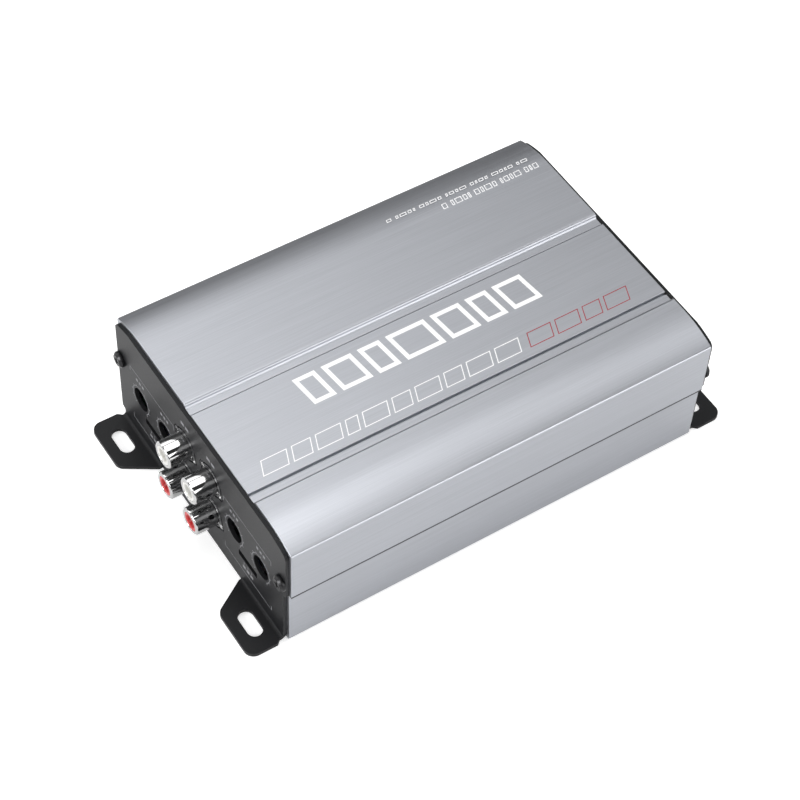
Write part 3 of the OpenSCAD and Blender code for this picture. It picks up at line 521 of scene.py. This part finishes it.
class Finishes(Enum):
    """Every finish on the amplifier."""

    SILVER = BrushedFinish(
        "brushed_silver",
        dark=(0.405, 0.417, 0.447), light=(0.482, 0.496, 0.531), rough=(0.34, 0.42),
        skin=Skin.BRUSHED, size=2.2, metallic=1.0, bump=0.12, bump_depth=0.00002, wear=0.04,
        worn=(0.60, 0.60, 0.62), band_share=0.12,
    )
    PLATE = Finish(
        "satin_black_paint",
        dark=(0.0065, 0.0067, 0.0075), light=(0.013, 0.0134, 0.015), rough=(0.38, 0.48),
        size=2600.0, bump=0.3, wear=0.05, worn=(0.08, 0.08, 0.085), shine=0.2,
    )
    SCREW = Finish(
        "black_oxide",
        dark=(0.012, 0.012, 0.013), light=(0.035, 0.035, 0.037), rough=(0.26, 0.40),
        size=3200.0, metallic=0.7, wear=0.3, worn=(0.20, 0.20, 0.20),
    )
    CHROME = Finish(
        "polished_chrome",
        dark=(0.50, 0.50, 0.50), light=(0.62, 0.62, 0.62), rough=(0.05, 0.11), size=900.0,
        metallic=1.0, bump=0.04, wear=0.08, worn=(0.55, 0.55, 0.54),
    )
    FLANGE = Finish(
        "dark_nickel",
        dark=(0.030, 0.031, 0.034), light=(0.060, 0.061, 0.066), rough=(0.30, 0.42),
        size=1600.0, metallic=0.8, wear=0.2, worn=(0.20, 0.20, 0.20),
    )
    WHITE = Finish(
        "white_insulator",
        dark=(0.50, 0.495, 0.47), light=(0.60, 0.595, 0.57), rough=(0.30, 0.42), size=1500.0,
        wear=0.1, worn=(0.66, 0.64, 0.60), coat=0.2,
    )
    RED = Finish(
        "red_insulator",
        dark=(0.36, 0.006, 0.007), light=(0.50, 0.012, 0.012), rough=(0.30, 0.42),
        size=1500.0, wear=0.1, worn=(0.60, 0.20, 0.18), coat=0.2,
    )
    MOULDED = Finish(
        "moulded_black",
        dark=(0.010, 0.010, 0.011), light=(0.026, 0.026, 0.028), rough=(0.42, 0.58),
        size=2200.0, bump=0.25, wear=0.12, worn=(0.10, 0.10, 0.10),
    )
    CONTROL = Finish(
        "control_blue",
        dark=(0.030, 0.070, 0.19), light=(0.055, 0.12, 0.29), rough=(0.38, 0.5), size=1800.0,
        wear=0.2,
    )
    STEEL = Finish(
        "zinc_plate",
        dark=(0.46, 0.46, 0.46), light=(0.66, 0.66, 0.65), rough=(0.26, 0.42), size=700.0,
        metallic=1.0, wear=0.2,
    )
    CONTACT = Finish(
        "plated_contact",
        dark=(0.62, 0.54, 0.33), light=(0.82, 0.74, 0.48), rough=(0.16, 0.28), size=900.0,
        metallic=1.0, wear=0.1,
    )
    FERRITE = Finish(
        "sintered_ferrite",
        dark=(0.035, 0.035, 0.037), light=(0.085, 0.085, 0.09), rough=(0.5, 0.7),
        size=1400.0, bump=0.5,
    )
    POWDER = Finish(
        "painted_core",
        dark=(0.46, 0.36, 0.045), light=(0.62, 0.52, 0.09), rough=(0.35, 0.5), size=1600.0,
        bump=0.3,
    )
    SPREADER = BrushedFinish(
        "mill_aluminium",
        dark=(0.48, 0.48, 0.49), light=(0.66, 0.66, 0.67), rough=(0.32, 0.46),
        skin=Skin.BRUSHED, size=0.8, metallic=1.0, bump=0.2, bump_depth=0.00003, wear=0.2,
    )
    THERMAL = Finish(
        "thermal_strip",
        dark=(0.30, 0.32, 0.35), light=(0.42, 0.44, 0.47), rough=(0.6, 0.75), size=1500.0,
    )
    CHIP = Finish(
        "moulded_epoxy",
        dark=(0.012, 0.012, 0.014), light=(0.034, 0.034, 0.037), rough=(0.45, 0.6),
        size=2600.0, bump=0.3,
    )
    SLEEVE = Finish(
        "shrink_sleeve",
        dark=(0.020, 0.026, 0.060), light=(0.040, 0.050, 0.10), rough=(0.22, 0.34),
        size=600.0, coat=0.3,
    )
    FUSE = Finish(
        "fuse_body",
        dark=(0.020, 0.020, 0.023), light=(0.040, 0.040, 0.044), rough=(0.16, 0.26),
        size=1400.0, coat=0.4, wear=0.1,
    )
    LAMP = Finish(
        "lamp_lens",
        dark=(0.16, 0.52, 0.22), light=(0.26, 0.66, 0.32), rough=(0.14, 0.22), size=500.0,
        transmission=0.35,
    )
    BOARD = BoardFinish(
        "solder_mask",
        dark=(0.012, 0.075, 0.032), light=(0.022, 0.11, 0.048), rough=(0.26, 0.38), bump=0.4,
        wear=0.1,
    )
    INK_WHITE = Finish(
        "white_ink",
        dark=(0.80, 0.80, 0.80), light=(0.93, 0.93, 0.93), rough=(0.45, 0.6), size=3000.0,
        wear=0.04,
    )
    INK_RED = Finish(
        "red_ink",
        dark=(0.27, 0.018, 0.027), light=(0.36, 0.034, 0.045), rough=(0.45, 0.6),
        size=3000.0, wear=0.04,
    )
    INK_GREY = Finish(
        "grey_ink",
        dark=(0.13, 0.13, 0.14), light=(0.22, 0.22, 0.235), rough=(0.5, 0.62), size=3000.0,
        wear=0.2,
    )
    WIRE = Finish(
        "enamelled_copper",
        dark=(0.42, 0.13, 0.045), light=(0.62, 0.24, 0.09), rough=(0.2, 0.32),
        skin=Skin.WOUND, size=34.0, metallic=0.85, bump=0.9, bump_depth=0.0006, coat=0.5,
        wear=0.1, centre=(0.002, 0.012, 0.0),
    )
    CHOKE_WIRE = Finish(
        "enamelled_choke_wire",
        dark=(0.42, 0.13, 0.045), light=(0.62, 0.24, 0.09), rough=(0.2, 0.32),
        skin=Skin.WOUND, size=24.0, metallic=0.85, bump=0.9, bump_depth=0.0006, coat=0.5,
        wear=0.1, centre=(0.032, 0.028, 0.0),
    )


FINISH_OF_SLOT: dict[str, Finishes] = {
    "silver": Finishes.SILVER,
    "plate_black": Finishes.PLATE,
    "screw_black": Finishes.SCREW,
    "board": Finishes.BOARD,
    "jack_chrome": Finishes.CHROME,
    "insulator_white": Finishes.WHITE,
    "insulator_red": Finishes.RED,
    "plastic_black": Finishes.MOULDED,
    "control_blue": Finishes.CONTROL,
    "steel": Finishes.STEEL,
    "contact": Finishes.CONTACT,
    "ferrite": Finishes.FERRITE,
    "iron_powder": Finishes.POWDER,
    "copper": Finishes.WIRE,
    "spreader": Finishes.SPREADER,
    "thermal": Finishes.THERMAL,
    "chip_black": Finishes.CHIP,
    "sleeve": Finishes.SLEEVE,
    "fuse_dark": Finishes.FUSE,
    "lamp": Finishes.LAMP,
}

# CAD nodes that take another finish than their slot's
FINISH_OF_NODE: dict[str, Finishes] = {"choke_winding": Finishes.CHOKE_WIRE}


# ---- Mesh helpers ----


def merged_copy(node: str) -> bmesh.types.BMesh:
    """Copies a CAD node's mesh, merges its doubles and joins its flat faces.

    Args:
        node: Name of the CAD node.

    Returns:
        A clean mesh with its outlines as edges.
    """
    mesh = bmesh.new()
    mesh.from_mesh(frame["nodes"][node].data)
    bmesh.ops.remove_doubles(mesh, verts=mesh.verts, dist=WELD)
    bmesh.ops.dissolve_limit(mesh, angle_limit=FLAT_ANGLE, verts=mesh.verts, edges=mesh.edges)
    return mesh


def soften(
    mesh: bmesh.types.BMesh, width: float, crease: float = 35.0, segments: int = 2,
    keep: Callable[[bmesh.types.BMEdge], bool] = lambda edge: True,
) -> None:
    """Bevels the sharp edges of a mesh.

    Args:
        mesh: The mesh to change.
        width: Width of the bevel.
        crease: Least angle of an edge that counts as sharp, in degrees.
        segments: Segments of the bevel.
        keep: Says which sharp edges are bevelled.
    """
    least = math.radians(crease)
    sharp = [
        edge for edge in mesh.edges
        if len(edge.link_faces) == 2 and edge.calc_face_angle(0) > least and keep(edge)
    ]
    bmesh.ops.bevel(
        mesh, geom=sharp, offset=width, offset_type="OFFSET", segments=segments, profile=0.5,
        affect="EDGES", material=-1, clamp_overlap=True,
    )


@dataclass
class Shape:
    """A finished mesh that waits for its finish and body; it also holds its slot's name."""

    mesh: bmesh.types.BMesh
    name: str
    finish: Finishes
    body: str = "case"
    slot: str = ""
    stands_for: tuple[str, ...] = ()
    smooth: float = 48.0

    def dress(self) -> bpy.types.Object:
        """Makes the piece, with its finish and body.

        Returns:
            The piece.
        """
        data = bpy.data.meshes.new(self.name)
        self.mesh.to_mesh(data)
        self.mesh.free()
        data.polygons.foreach_set("use_smooth", [True] * len(data.polygons))
        data.set_sharp_from_angle(angle=math.radians(self.smooth))
        piece = bpy.data.objects.new(self.name, data)
        bpy.context.scene.collection.objects.link(piece)
        data.materials.append(self.finish.value.material())
        even = piece.modifiers.new("even_shading", "WEIGHTED_NORMAL")
        even.keep_sharp = True
        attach(piece, self.body)
        if self.stands_for:
            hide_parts(*self.stands_for)
        return piece


@dataclass
class SubAssembly:
    """A group of pieces whose meshes are built first and dressed afterwards."""

    shapes: list[Shape] = field(default_factory=list, init=False)
    kept: list[str] = field(default_factory=list, init=False)

    def build(self) -> None:
        """Builds the meshes of the group."""

    def dress(self) -> None:
        """Gives every mesh and every kept CAD node its finish."""
        for shape in self.shapes:
            piece = shape.dress()
            faces = len(piece.data.polygons)
            LOG.info("%s: %d faces, %s", piece.name, faces, shape.finish.value.name)
        for node in self.kept:
            finish = FINISH_OF_NODE.get(node, FINISH_OF_SLOT[slot_of(node)])
            for place in frame["nodes"][node].material_slots:
                place.material = finish.value.material()
            LOG.info("%s: CAD shape, %s", node, finish.value.name)

    def soften_node(self, node: str, name: str, width: float, crease: float = 35.0) -> None:
        """Adds a CAD node's own shape with softened edges, in its place.

        Args:
            node: The CAD node.
            name: Name of the new piece.
            width: Width of the bevel.
            crease: Least angle of a bevelled edge, in degrees.
        """
        mesh = merged_copy(node)
        soften(mesh, width, crease)
        slot, body = slot_of(node), body_holding(node)
        self.shapes.append(Shape(mesh, name, FINISH_OF_SLOT[slot], body, slot, (node,)))


# ---- Sub-assemblies ----


@dataclass
class CaseShells(SubAssembly):
    """The upper and lower extrusions of the case, and a dark strip of painted shade in their seam.
    """

    edge: float = 0.14 * MM
    crease: float = 40.0
    seam_z: float = 22.28 * MM
    # Size and place of a dark strip of painted shade under the upper extrusion's front wall
    shadow_strip_x: float = 67.7 * MM
    shadow_strip_front: float = -46.7 * MM
    shadow_strip_depth: float = 1.1 * MM
    shadow_strip_height: float = 0.6 * MM
    shadow_strip_edge: float = 0.06 * MM

    def build(self) -> None:
        """Builds both extrusions with broken edges, and the strip of painted shade in their seam.
        """
        self.soften_node("top_heatsink", "upper_extrusion", self.edge, self.crease)
        self.soften_node("base_tray", "lower_extrusion", self.edge, self.crease)
        self.build_seam_shadow()

    def build_seam_shadow(self) -> None:
        """Builds a dark strip of painted shade in the seam under the upper extrusion's front wall,
        where the overhang casts its shadow.
        """
        size = Vector((2 * self.shadow_strip_x, self.shadow_strip_depth, self.shadow_strip_height))
        mesh = bmesh.new()
        bmesh.ops.create_cube(mesh, size=1.0)
        bmesh.ops.scale(mesh, verts=mesh.verts, vec=size)
        middle_y = self.shadow_strip_front + self.shadow_strip_depth / 2
        middle_z = self.seam_z - self.shadow_strip_height / 2
        bmesh.ops.translate(mesh, verts=mesh.verts, vec=(0.0, middle_y, middle_z))
        soften(mesh, self.shadow_strip_edge)
        # Painted shade: a dark moulded strip that stands for the shadow under the overhang
        self.shapes.append(Shape(mesh, "seam_shadow_strip", Finishes.MOULDED))


@dataclass
class EndPlates(SubAssembly):
    """The two bent steel plates and their screws."""

    edge: float = 0.16 * MM
    screw_edge: float = 0.1 * MM

    def build(self) -> None:
        """Builds the plates and the screws with broken edges."""
        self.soften_node("control_end_plate", "control_plate", self.edge)
        self.soften_node("power_end_plate", "power_plate", self.edge)
        self.soften_node("control_plate_screws", "control_screws", self.screw_edge)
        self.soften_node("power_plate_screws", "power_screws", self.screw_edge)


@dataclass
class PhonoJacks(SubAssembly):
    """Four phono jacks: chrome shells, coloured insulators and plated contacts."""

    count: int = 4
    rim: float = 0.28 * MM
    rim_segments: int = 3
    rim_depth: float = 0.3 * MM
    edge: float = 0.1 * MM
    crease: float = 50.0
    smooth: float = 40.0
    flange_x: float = -68.97 * MM

    def build_shell(self, number: int) -> None:
        """Builds a shell with a round rim, split into its barrel and its flange.

        Args:
            number: The jack's number.
        """
        shell = f"jack_shell_{number}"
        low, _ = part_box(shell)
        tip = low.x + self.rim_depth
        mesh = merged_copy(shell)
        soften(
            mesh, self.rim, self.crease, self.rim_segments,
            keep=lambda edge: all(v.co.x < tip for v in edge.verts),
        )
        soften(
            mesh, self.edge, self.crease,
            keep=lambda edge: all(v.co.x > tip + self.rim for v in edge.verts),
        )
        flange = mesh.copy()
        for part, name, finish, is_barrel in (
            (mesh, f"phono_shell_{number}", Finishes.CHROME, True),
            (flange, f"phono_flange_{number}", Finishes.FLANGE, False),
        ):
            spare = [
                face for face in part.faces
                if (face.calc_center_median().x < self.flange_x) is not is_barrel
            ]
            bmesh.ops.delete(part, geom=spare, context="FACES")
            self.shapes.append(
                Shape(part, name, finish, "case", slot_of(shell), (shell,), self.smooth)
            )

    def build(self) -> None:
        """Builds the shells and the insulators with soft mouths."""
        for number in range(1, self.count + 1):
            self.build_shell(number)
            insulator = f"jack_insulator_{number}"
            self.soften_node(insulator, f"phono_insulator_{number}", self.edge, self.crease)
            self.kept.append(f"jack_contact_{number}")
        self.kept.insert(0, "jack_housing")


@dataclass
class Controls(SubAssembly):
    """The recessed rotary controls and the slide switches."""

    edge: float = 0.12 * MM

    def build(self) -> None:
        """Builds the turning shafts and the switch levers with soft edges."""
        for pair in ("a", "b"):
            self.soften_node(f"level_rotor_{pair}", f"level_shaft_{pair}", self.edge)
            self.soften_node(f"filter_rotor_{pair}", f"filter_shaft_{pair}", self.edge)
            self.soften_node(f"switch_lever_{pair}", f"switch_slider_{pair}", self.edge)
            self.kept += [f"level_body_{pair}", f"filter_body_{pair}", f"switch_body_{pair}"]


@dataclass
class PowerEnd(SubAssembly):
    """The fuse, its holder, the harness socket and the lamp."""

    edge: float = 0.2 * MM
    small_edge: float = 0.1 * MM

    def build(self) -> None:
        """Builds the mouldings of the power end."""
        self.soften_node("fuse_case", "fuse_body", self.edge)
        self.soften_node("fuse_holder", "fuse_socket", self.edge)
        self.soften_node("harness_socket", "harness_shroud", self.edge)
        self.soften_node("power_lamp", "lamp_lens", self.small_edge)
        self.kept = ["fuse_link", "harness_pins"]


@dataclass
class Innards(SubAssembly):
    """The board and what stands on it."""

    coils: int = 4
    capacitors: int = 3

    def build(self) -> None:
        """Lists the CAD nodes that keep their shape."""
        self.kept = [
            "circuit_board", "board_screws", "heat_spreader", "spreader_screws",
            "thermal_strip", "output_chip_a", "output_chip_b", "supply_transistor_a",
            "supply_transistor_b", "clamp_bar", "clamp_screws", "transformer_core",
            "transformer_winding", "choke_core", "choke_winding",
            *(f"output_coil_{n + 1}" for n in range(self.coils)),
            *(f"reservoir_capacitor_{n + 1}" for n in range(self.capacitors)),
        ]


@dataclass(frozen=True)
class BarRow:
    """A printed row of slanted outlined bars on the panel, sized in millimetres."""

    name: str
    finish: Finishes
    start: float
    widths: tuple[float, ...]
    low: float = -22.2
    high: float = 4.9
    lean: float = 1.9
    stroke: float = 0.26
    gap: float = 1.35


@dataclass(frozen=True)
class MarkLine:
    """A printed line of small marks on the wing, sized in millimetres."""

    start: float
    stop: float
    low: float
    high: float
    widths: tuple[float, ...] = (1.6, 0.9, 2.2, 1.2, 0.7)
    lean: float = 0.25
    stroke: float = 0.24
    gap: float = 0.55
    wide_gap: float = 1.5
    marks_in_group: int = 4


@dataclass
class PrintedMarks(SubAssembly):
    """Screen-printed marks on the panel, the wing and the control plate, with no lettering."""

    ink: float = 0.015 * MM
    panel_z: float = 42.8 * MM
    wing_z: float = 43.6 * MM
    plate_x: float = -68.95 * MM
    control_z: float = 19.9 * MM
    control_ys: Pair = (19.0 * MM, 33.0 * MM)
    scale_radii: Pair = (4.45 * MM, 4.65 * MM)
    scale_ends: Pair = (40.0, 320.0)
    tick_radii: Pair = (4.65 * MM, 5.25 * MM)
    tick_step: int = 28
    tick_sweep: float = 2.8
    arc_step: float = 6.0
    label_zs: Pair = (26.6 * MM, 27.6 * MM)
    label_pitch: float = 1.7 * MM
    label_width: float = 1.0 * MM
    label_shift: float = 1.35
    switch_y: float = 26.0 * MM
    switch_steps: tuple[int, ...] = (-2, 0, 2)
    switch_tick: float = 0.12 * MM
    switch_tick_zs: Pair = (10.0 * MM, 11.1 * MM)
    switch_label: float = 0.7 * MM
    switch_label_zs: Pair = (8.3 * MM, 9.3 * MM)
    frame_ys: Pair = (13.6 * MM, 38.4 * MM)
    frame_line: float = 0.1 * MM
    frame_lines_zs: tuple[Pair, ...] = ((29.4 * MM, 29.6 * MM), (6.4 * MM, 6.6 * MM))
    frame_ends_zs: tuple[Pair, ...] = ((6.6 * MM, 8.4 * MM), (27.6 * MM, 29.4 * MM))
    jack_ys: Pair = (-7.0 * MM, 7.0 * MM)
    jack_label_ys: tuple[Pair, ...] = ((-2.2 * MM, -0.4 * MM), (0.2 * MM, 2.0 * MM))
    jack_label_zs: Pair = (36.2 * MM, 37.3 * MM)
    bar_rows: tuple[BarRow, ...] = (
        BarRow(
            "panel_mark", Finishes.INK_WHITE, -37.5, (7.0, 9.5, 7.0, 12.5, 9.5, 7.0, 9.5),
            low=-8.6, high=10.2, lean=-1.2, stroke=1.35, gap=2.1,
        ),
        BarRow(
            "edge_mark_white", Finishes.INK_WHITE, -61.5,
            (8.0, 6.0, 8.0, 4.0, 8.0, 6.0, 8.0, 6.0, 8.0, 8.0),
        ),
        BarRow("edge_mark_red", Finishes.INK_RED, 23.5, (8.0, 8.0, 6.0, 8.0)),
    )
    wing_lines: tuple[MarkLine, ...] = (
        MarkLine(14.0, 63.0, 36.4, 1.1), MarkLine(31.0, 64.0, 32.6, 2.0)
    )

    def patch(
        self, mesh: bmesh.types.BMesh, corners: Sequence[Vector], stroke: float = 0.0
    ) -> None:
        """Adds a flat patch, solid or as an outline.

        Args:
            mesh: The mesh to add to.
            corners: Its corners in order.
            stroke: Width of the outline, or 0 for a solid patch.
        """
        face = mesh.faces.new([mesh.verts.new(corner) for corner in corners])
        face.normal_update()
        if stroke:
            bmesh.ops.inset_individual(mesh, faces=[face], thickness=stroke, use_even_offset=True)
            bmesh.ops.delete(mesh, geom=[face], context="FACES_ONLY")

    def bar(
        self, mesh: bmesh.types.BMesh, low: Place, size: Pair, lean: float, stroke: float
    ) -> None:
        """Adds the outline of a slanted bar that lies flat.

        Args:
            mesh: The mesh to add to.
            low: Its lower left corner.
            size: Its width along X and height along Y.
            lean: How far its top is shifted along X.
            stroke: Width of its outline.
        """
        corner, (wide, high) = Vector(low), size
        across, up = Vector((wide, 0.0, 0.0)), Vector((lean, high, 0.0))
        self.patch(mesh, (corner, corner + across, corner + across + up, corner + up), stroke)

    def upright(self, mesh: bmesh.types.BMesh, ys: Pair, zs: Pair) -> None:
        """Adds a solid patch on the control plate.

        Args:
            mesh: The mesh to add to.
            ys: Y of its two sides.
            zs: Z of its bottom and top.
        """
        (y0, y1), (z0, z1) = ys, zs
        x = self.plate_x - self.ink
        self.patch(mesh, [Vector((x, y, z)) for y, z in ((y0, z0), (y1, z0), (y1, z1), (y0, z1))])

    def arc(
        self, mesh: bmesh.types.BMesh, centre: Vector, radii: Pair, start: float, sweep: float
    ) -> None:
        """Adds a flat arc on the control plate.

        Args:
            mesh: The mesh to add to.
            centre: Its centre.
            radii: Inner and outer radius.
            start: Angle of its first end from straight down, in degrees.
            sweep: Its angle, in degrees.
        """
        turn = Matrix.Rotation(math.radians(start), 3, "X")
        ends = [mesh.verts.new(centre + turn @ Vector((0.0, 0.0, -radius))) for radius in radii]
        first = mesh.edges.new(ends)
        bmesh.ops.spin(
            mesh, geom=[*ends, first], cent=centre, axis=(1.0, 0.0, 0.0),
            angle=math.radians(sweep), steps=max(1, round(sweep / self.arc_step)),
            use_merge=False, use_duplicate=False,
        )

    def add_ink(self, mesh: bmesh.types.BMesh, name: str, finish: Finishes) -> None:
        """Gives flat marks the thickness of the ink and adds them as one piece.

        Args:
            mesh: The flat marks.
            name: Name of the piece.
            finish: Its ink.
        """
        bmesh.ops.remove_doubles(mesh, verts=mesh.verts, dist=WELD / 2)
        bmesh.ops.solidify(mesh, geom=list(mesh.faces), thickness=self.ink)
        bmesh.ops.recalc_face_normals(mesh, faces=mesh.faces)
        self.shapes.append(Shape(mesh, name, finish))

    def build_bar_rows(self) -> None:
        """Builds the rows of outlined bars on the panel, each as its own piece."""
        z = self.panel_z + self.ink
        for row in self.bar_rows:
            mesh = bmesh.new()
            x = row.start * MM
            for wide in row.widths:
                size = (wide * MM, row.high * MM)
                self.bar(mesh, (x, row.low * MM, z), size, row.lean * MM, row.stroke * MM)
                x += (wide + row.gap) * MM
            self.add_ink(mesh, row.name, row.finish)

    def build_wing_lines(self) -> None:
        """Builds the lines of small marks near the corner of the broad wing."""
        mesh = bmesh.new()
        z = self.wing_z + self.ink
        for line in self.wing_lines:
            x, step = line.start, 0
            while x < line.stop:
                wide = line.widths[step % len(line.widths)]
                place, size = (x * MM, line.low * MM, z), (wide * MM, line.high * MM)
                self.bar(mesh, place, size, line.lean * MM, line.stroke * MM)
                x += wide + (line.gap if step % line.marks_in_group else line.wide_gap)
                step += 1
        self.add_ink(mesh, "wing_mark", Finishes.INK_WHITE)

    def add_scale(self, mesh: bmesh.types.BMesh, y: float) -> None:
        """Adds the scale round a control and its label.

        Args:
            mesh: The mesh to add to.
            y: Y of the control's axis.
        """
        centre = Vector((self.plate_x - self.ink, y, self.control_z))
        first, last = self.scale_ends
        self.arc(mesh, centre, self.scale_radii, first, last - first)
        for angle in range(int(first), int(last) + 1, self.tick_step):
            start = angle - self.tick_sweep / 2
            self.arc(mesh, centre, self.tick_radii, start, self.tick_sweep)
        for step in range(3):
            left = y + (step - self.label_shift) * self.label_pitch
            self.upright(mesh, (left, left + self.label_width), self.label_zs)

    def add_switch_marks(self, mesh: bmesh.types.BMesh, middle: float) -> None:
        """Adds a tick and a label under each position of a switch.

        Args:
            mesh: The mesh to add to.
            middle: Y of the switch's middle.
        """
        for step in self.switch_steps:
            place = middle + step * MM
            for half, zs in (
                (self.switch_tick, self.switch_tick_zs), (self.switch_label, self.switch_label_zs)
            ):
                self.upright(mesh, (place - half, place + half), zs)

    def add_frame(self, mesh: bmesh.types.BMesh, side: int) -> None:
        """Adds the lines that join the marks on one side of the jacks.

        Args:
            mesh: The mesh to add to.
            side: 1 or -1, the sign of Y.
        """
        inner, outer = sorted(side * y for y in self.frame_ys)
        for zs in self.frame_lines_zs:
            self.upright(mesh, (inner, outer), zs)
        for place in (inner, outer):
            for zs in self.frame_ends_zs:
                self.upright(mesh, (place - self.frame_line, place + self.frame_line), zs)

    def build_scales(self) -> None:
        """Builds the scales, the switch marks, the frames and the jacks' labels."""
        mesh = bmesh.new()
        for side in (1, -1):
            for y in self.control_ys:
                self.add_scale(mesh, side * y)
            self.add_switch_marks(mesh, side * self.switch_y)
            self.add_frame(mesh, side)
        for y in self.jack_ys:
            for low, high in self.jack_label_ys:
                self.upright(mesh, (y + low, y + high), self.jack_label_zs)
        self.add_ink(mesh, "control_scales", Finishes.INK_GREY)

    def build(self) -> None:
        """Builds every printed mark."""
        self.build_bar_rows()
        self.build_wing_lines()
        self.build_scales()


# ---- Studio ----


@dataclass(frozen=True)
class SoftBox:
    """An area light that faces a point on the amplifier."""

    name: str
    place: Place
    size: Pair
    watts: float

    def light(self, target: Vector) -> None:
        """Places the light.

        Args:
            target: The point that it faces.
        """
        lamp = bpy.data.lights.new(self.name, "AREA")
        lamp.shape = "RECTANGLE"
        lamp.size, lamp.size_y = self.size
        lamp.energy = self.watts
        holder = bpy.data.objects.new(self.name, lamp)
        bpy.context.scene.collection.objects.link(holder)
        holder.location = self.place
        holder.rotation_euler = (target - Vector(self.place)).to_track_quat("-Z", "Y").to_euler()


@dataclass
class Studio:
    """White table, soft lights and the camera."""

    azimuth: float = -35.43
    elevation: float = 51.79
    roll: float = 3.5
    lens: float = 99.5
    sensor: float = 36.0
    clip: Pair = (0.01, 20.0)
    station: Place = (-0.23009, -0.31836, 0.50934)
    target: Place = (0.0, 0.0, 0.02)
    table_size: float = 8.0
    table_drop: float = 0.1 * MM
    table_grey: float = 0.92
    table_roughness: float = 0.8
    table_glow: float = 0.05
    table_seen_glow: float = 0.4
    world_grey: float = 0.05
    world_seen_grey: float = 0.9
    boxes: tuple[SoftBox, ...] = (
        SoftBox("window_box", (-0.841, 0.841, 0.386), (0.5, 0.5), 2.35),
        SoftBox("left_box", (-1.189, 0.0, 0.386), (0.5, 0.5), 12.02),
        SoftBox("right_panel", (0.836, 0.0, 0.929), (0.55, 0.55), 1.48),
        SoftBox("top_front_panel", (0.0, -0.217, 1.231), (0.5, 0.5), 1.89),
        SoftBox("far_right_panel", (0.591, 0.591, 0.929), (0.55, 0.55), 0.63),
        SoftBox("back_panel", (0.0, 0.836, 0.929), (0.55, 0.55), 1.35),
        SoftBox("back_small_panel", (0.286, 0.786, 0.929), (0.4, 0.4), 0.11),
        SoftBox("high_back_panel", (0.152, 0.567, 1.104), (0.45, 0.45), 0.34),
        SoftBox("low_back_panel", (0.268, 1.001, 0.699), (0.45, 0.45), 0.38),
        SoftBox("back_left_panel", (-0.353, 0.758, 0.929), (0.5, 0.5), 2.03),
        SoftBox("high_right_panel", (0.457, -0.264, 1.133), (0.5, 0.5), 0.36),
        SoftBox("top_panel", (0.0, 0.217, 1.231), (0.5, 0.5), 3.34),
        SoftBox("front_left_panel", (-0.479, -0.829, 0.803), (0.5, 0.5), 3.35),
        SoftBox("front_strip", (0.45, -1.05, 0.46), (0.8, 0.8), 6.5),
        SoftBox("wing_box", (0.45, 0.22, 1.14), (0.6, 0.25), 0.5),
    )

    def place_camera(self) -> None:
        """Sets the camera's place, direction and lens."""
        a, e, roll = (math.radians(x) for x in (self.azimuth, self.elevation, self.roll))
        back = Vector((math.sin(a) * math.cos(e), -math.cos(a) * math.cos(e), math.sin(e)))
        right = (-back).cross(Vector((0.0, 0.0, 1.0))).normalized()
        up = right.cross(-back)
        right, up = (
            math.cos(roll) * right + math.sin(roll) * up,
            math.cos(roll) * up - math.sin(roll) * right,
        )
        eye = bpy.data.cameras.new("camera")
        eye.lens, eye.sensor_width = self.lens, self.sensor
        eye.clip_start, eye.clip_end = self.clip
        holder = bpy.data.objects.new("camera", eye)
        bpy.context.scene.collection.objects.link(holder)
        turned = Matrix((right, up, back)).transposed().to_4x4()
        holder.matrix_world = Matrix.Translation(self.station) @ turned
        bpy.context.scene.camera = holder

    def lay_table(self) -> None:
        """Makes the plain pale floor."""
        mesh = bmesh.new()
        bmesh.ops.create_grid(mesh, x_segments=2, y_segments=2, size=self.table_size)
        bmesh.ops.translate(mesh, verts=mesh.verts, vec=(0.0, 0.0, -self.table_drop))
        data = bpy.data.meshes.new("table")
        mesh.to_mesh(data)
        mesh.free()
        table = bpy.data.objects.new("table", data)
        bpy.context.scene.collection.objects.link(table)
        paper = bpy.data.materials.new("table_paper")
        paper.use_nodes = True
        shader = paper.node_tree.nodes["Principled BSDF"]
        shader.inputs["Base Color"].default_value = (*[self.table_grey] * 3, 1.0)
        shader.inputs["Roughness"].default_value = self.table_roughness
        shader.inputs["Emission Color"].default_value = (1.0, 1.0, 1.0, 1.0)
        w = Wiring(paper.node_tree)
        seen = w.add("ShaderNodeLightPath").outputs["Is Camera Ray"]
        glow = w.spread(seen, self.table_glow, self.table_seen_glow)
        w.join(glow, shader.inputs["Emission Strength"])
        data.materials.append(paper)

    def light_world(self) -> None:
        """Sets the world's even grey and the view's plain curve."""
        world = bpy.data.worlds.new("studio")
        world.use_nodes = True
        w = Wiring(world.node_tree)
        seen = w.add("ShaderNodeLightPath").outputs["Is Camera Ray"]
        ground = world.node_tree.nodes["Background"]
        ground.inputs["Color"].default_value = (1.0, 1.0, 1.0, 1.0)
        w.join(w.spread(seen, self.world_grey, self.world_seen_grey), ground.inputs["Strength"])
        bpy.context.scene.world = world
        bpy.context.scene.view_settings.view_transform = "Standard"

    def build(self) -> None:
        """Builds the floor, the lights and the camera."""
        self.lay_table()
        self.light_world()
        for box in self.boxes:
            box.light(Vector(self.target))
        self.place_camera()


def main() -> None:
    """Builds every sub-assembly in order, then the studio."""
    logging.basicConfig(level=logging.INFO, format="%(message)s")
    EFFECTS.build()
    for group in (
        CaseShells(), EndPlates(), PhonoJacks(), Controls(), PowerEnd(), Innards(),
        PrintedMarks(),
    ):
        group.build()
        group.dress()
    Studio().build()
    bpy.context.view_layer.update()


if __name__ == "__main__":
    main()
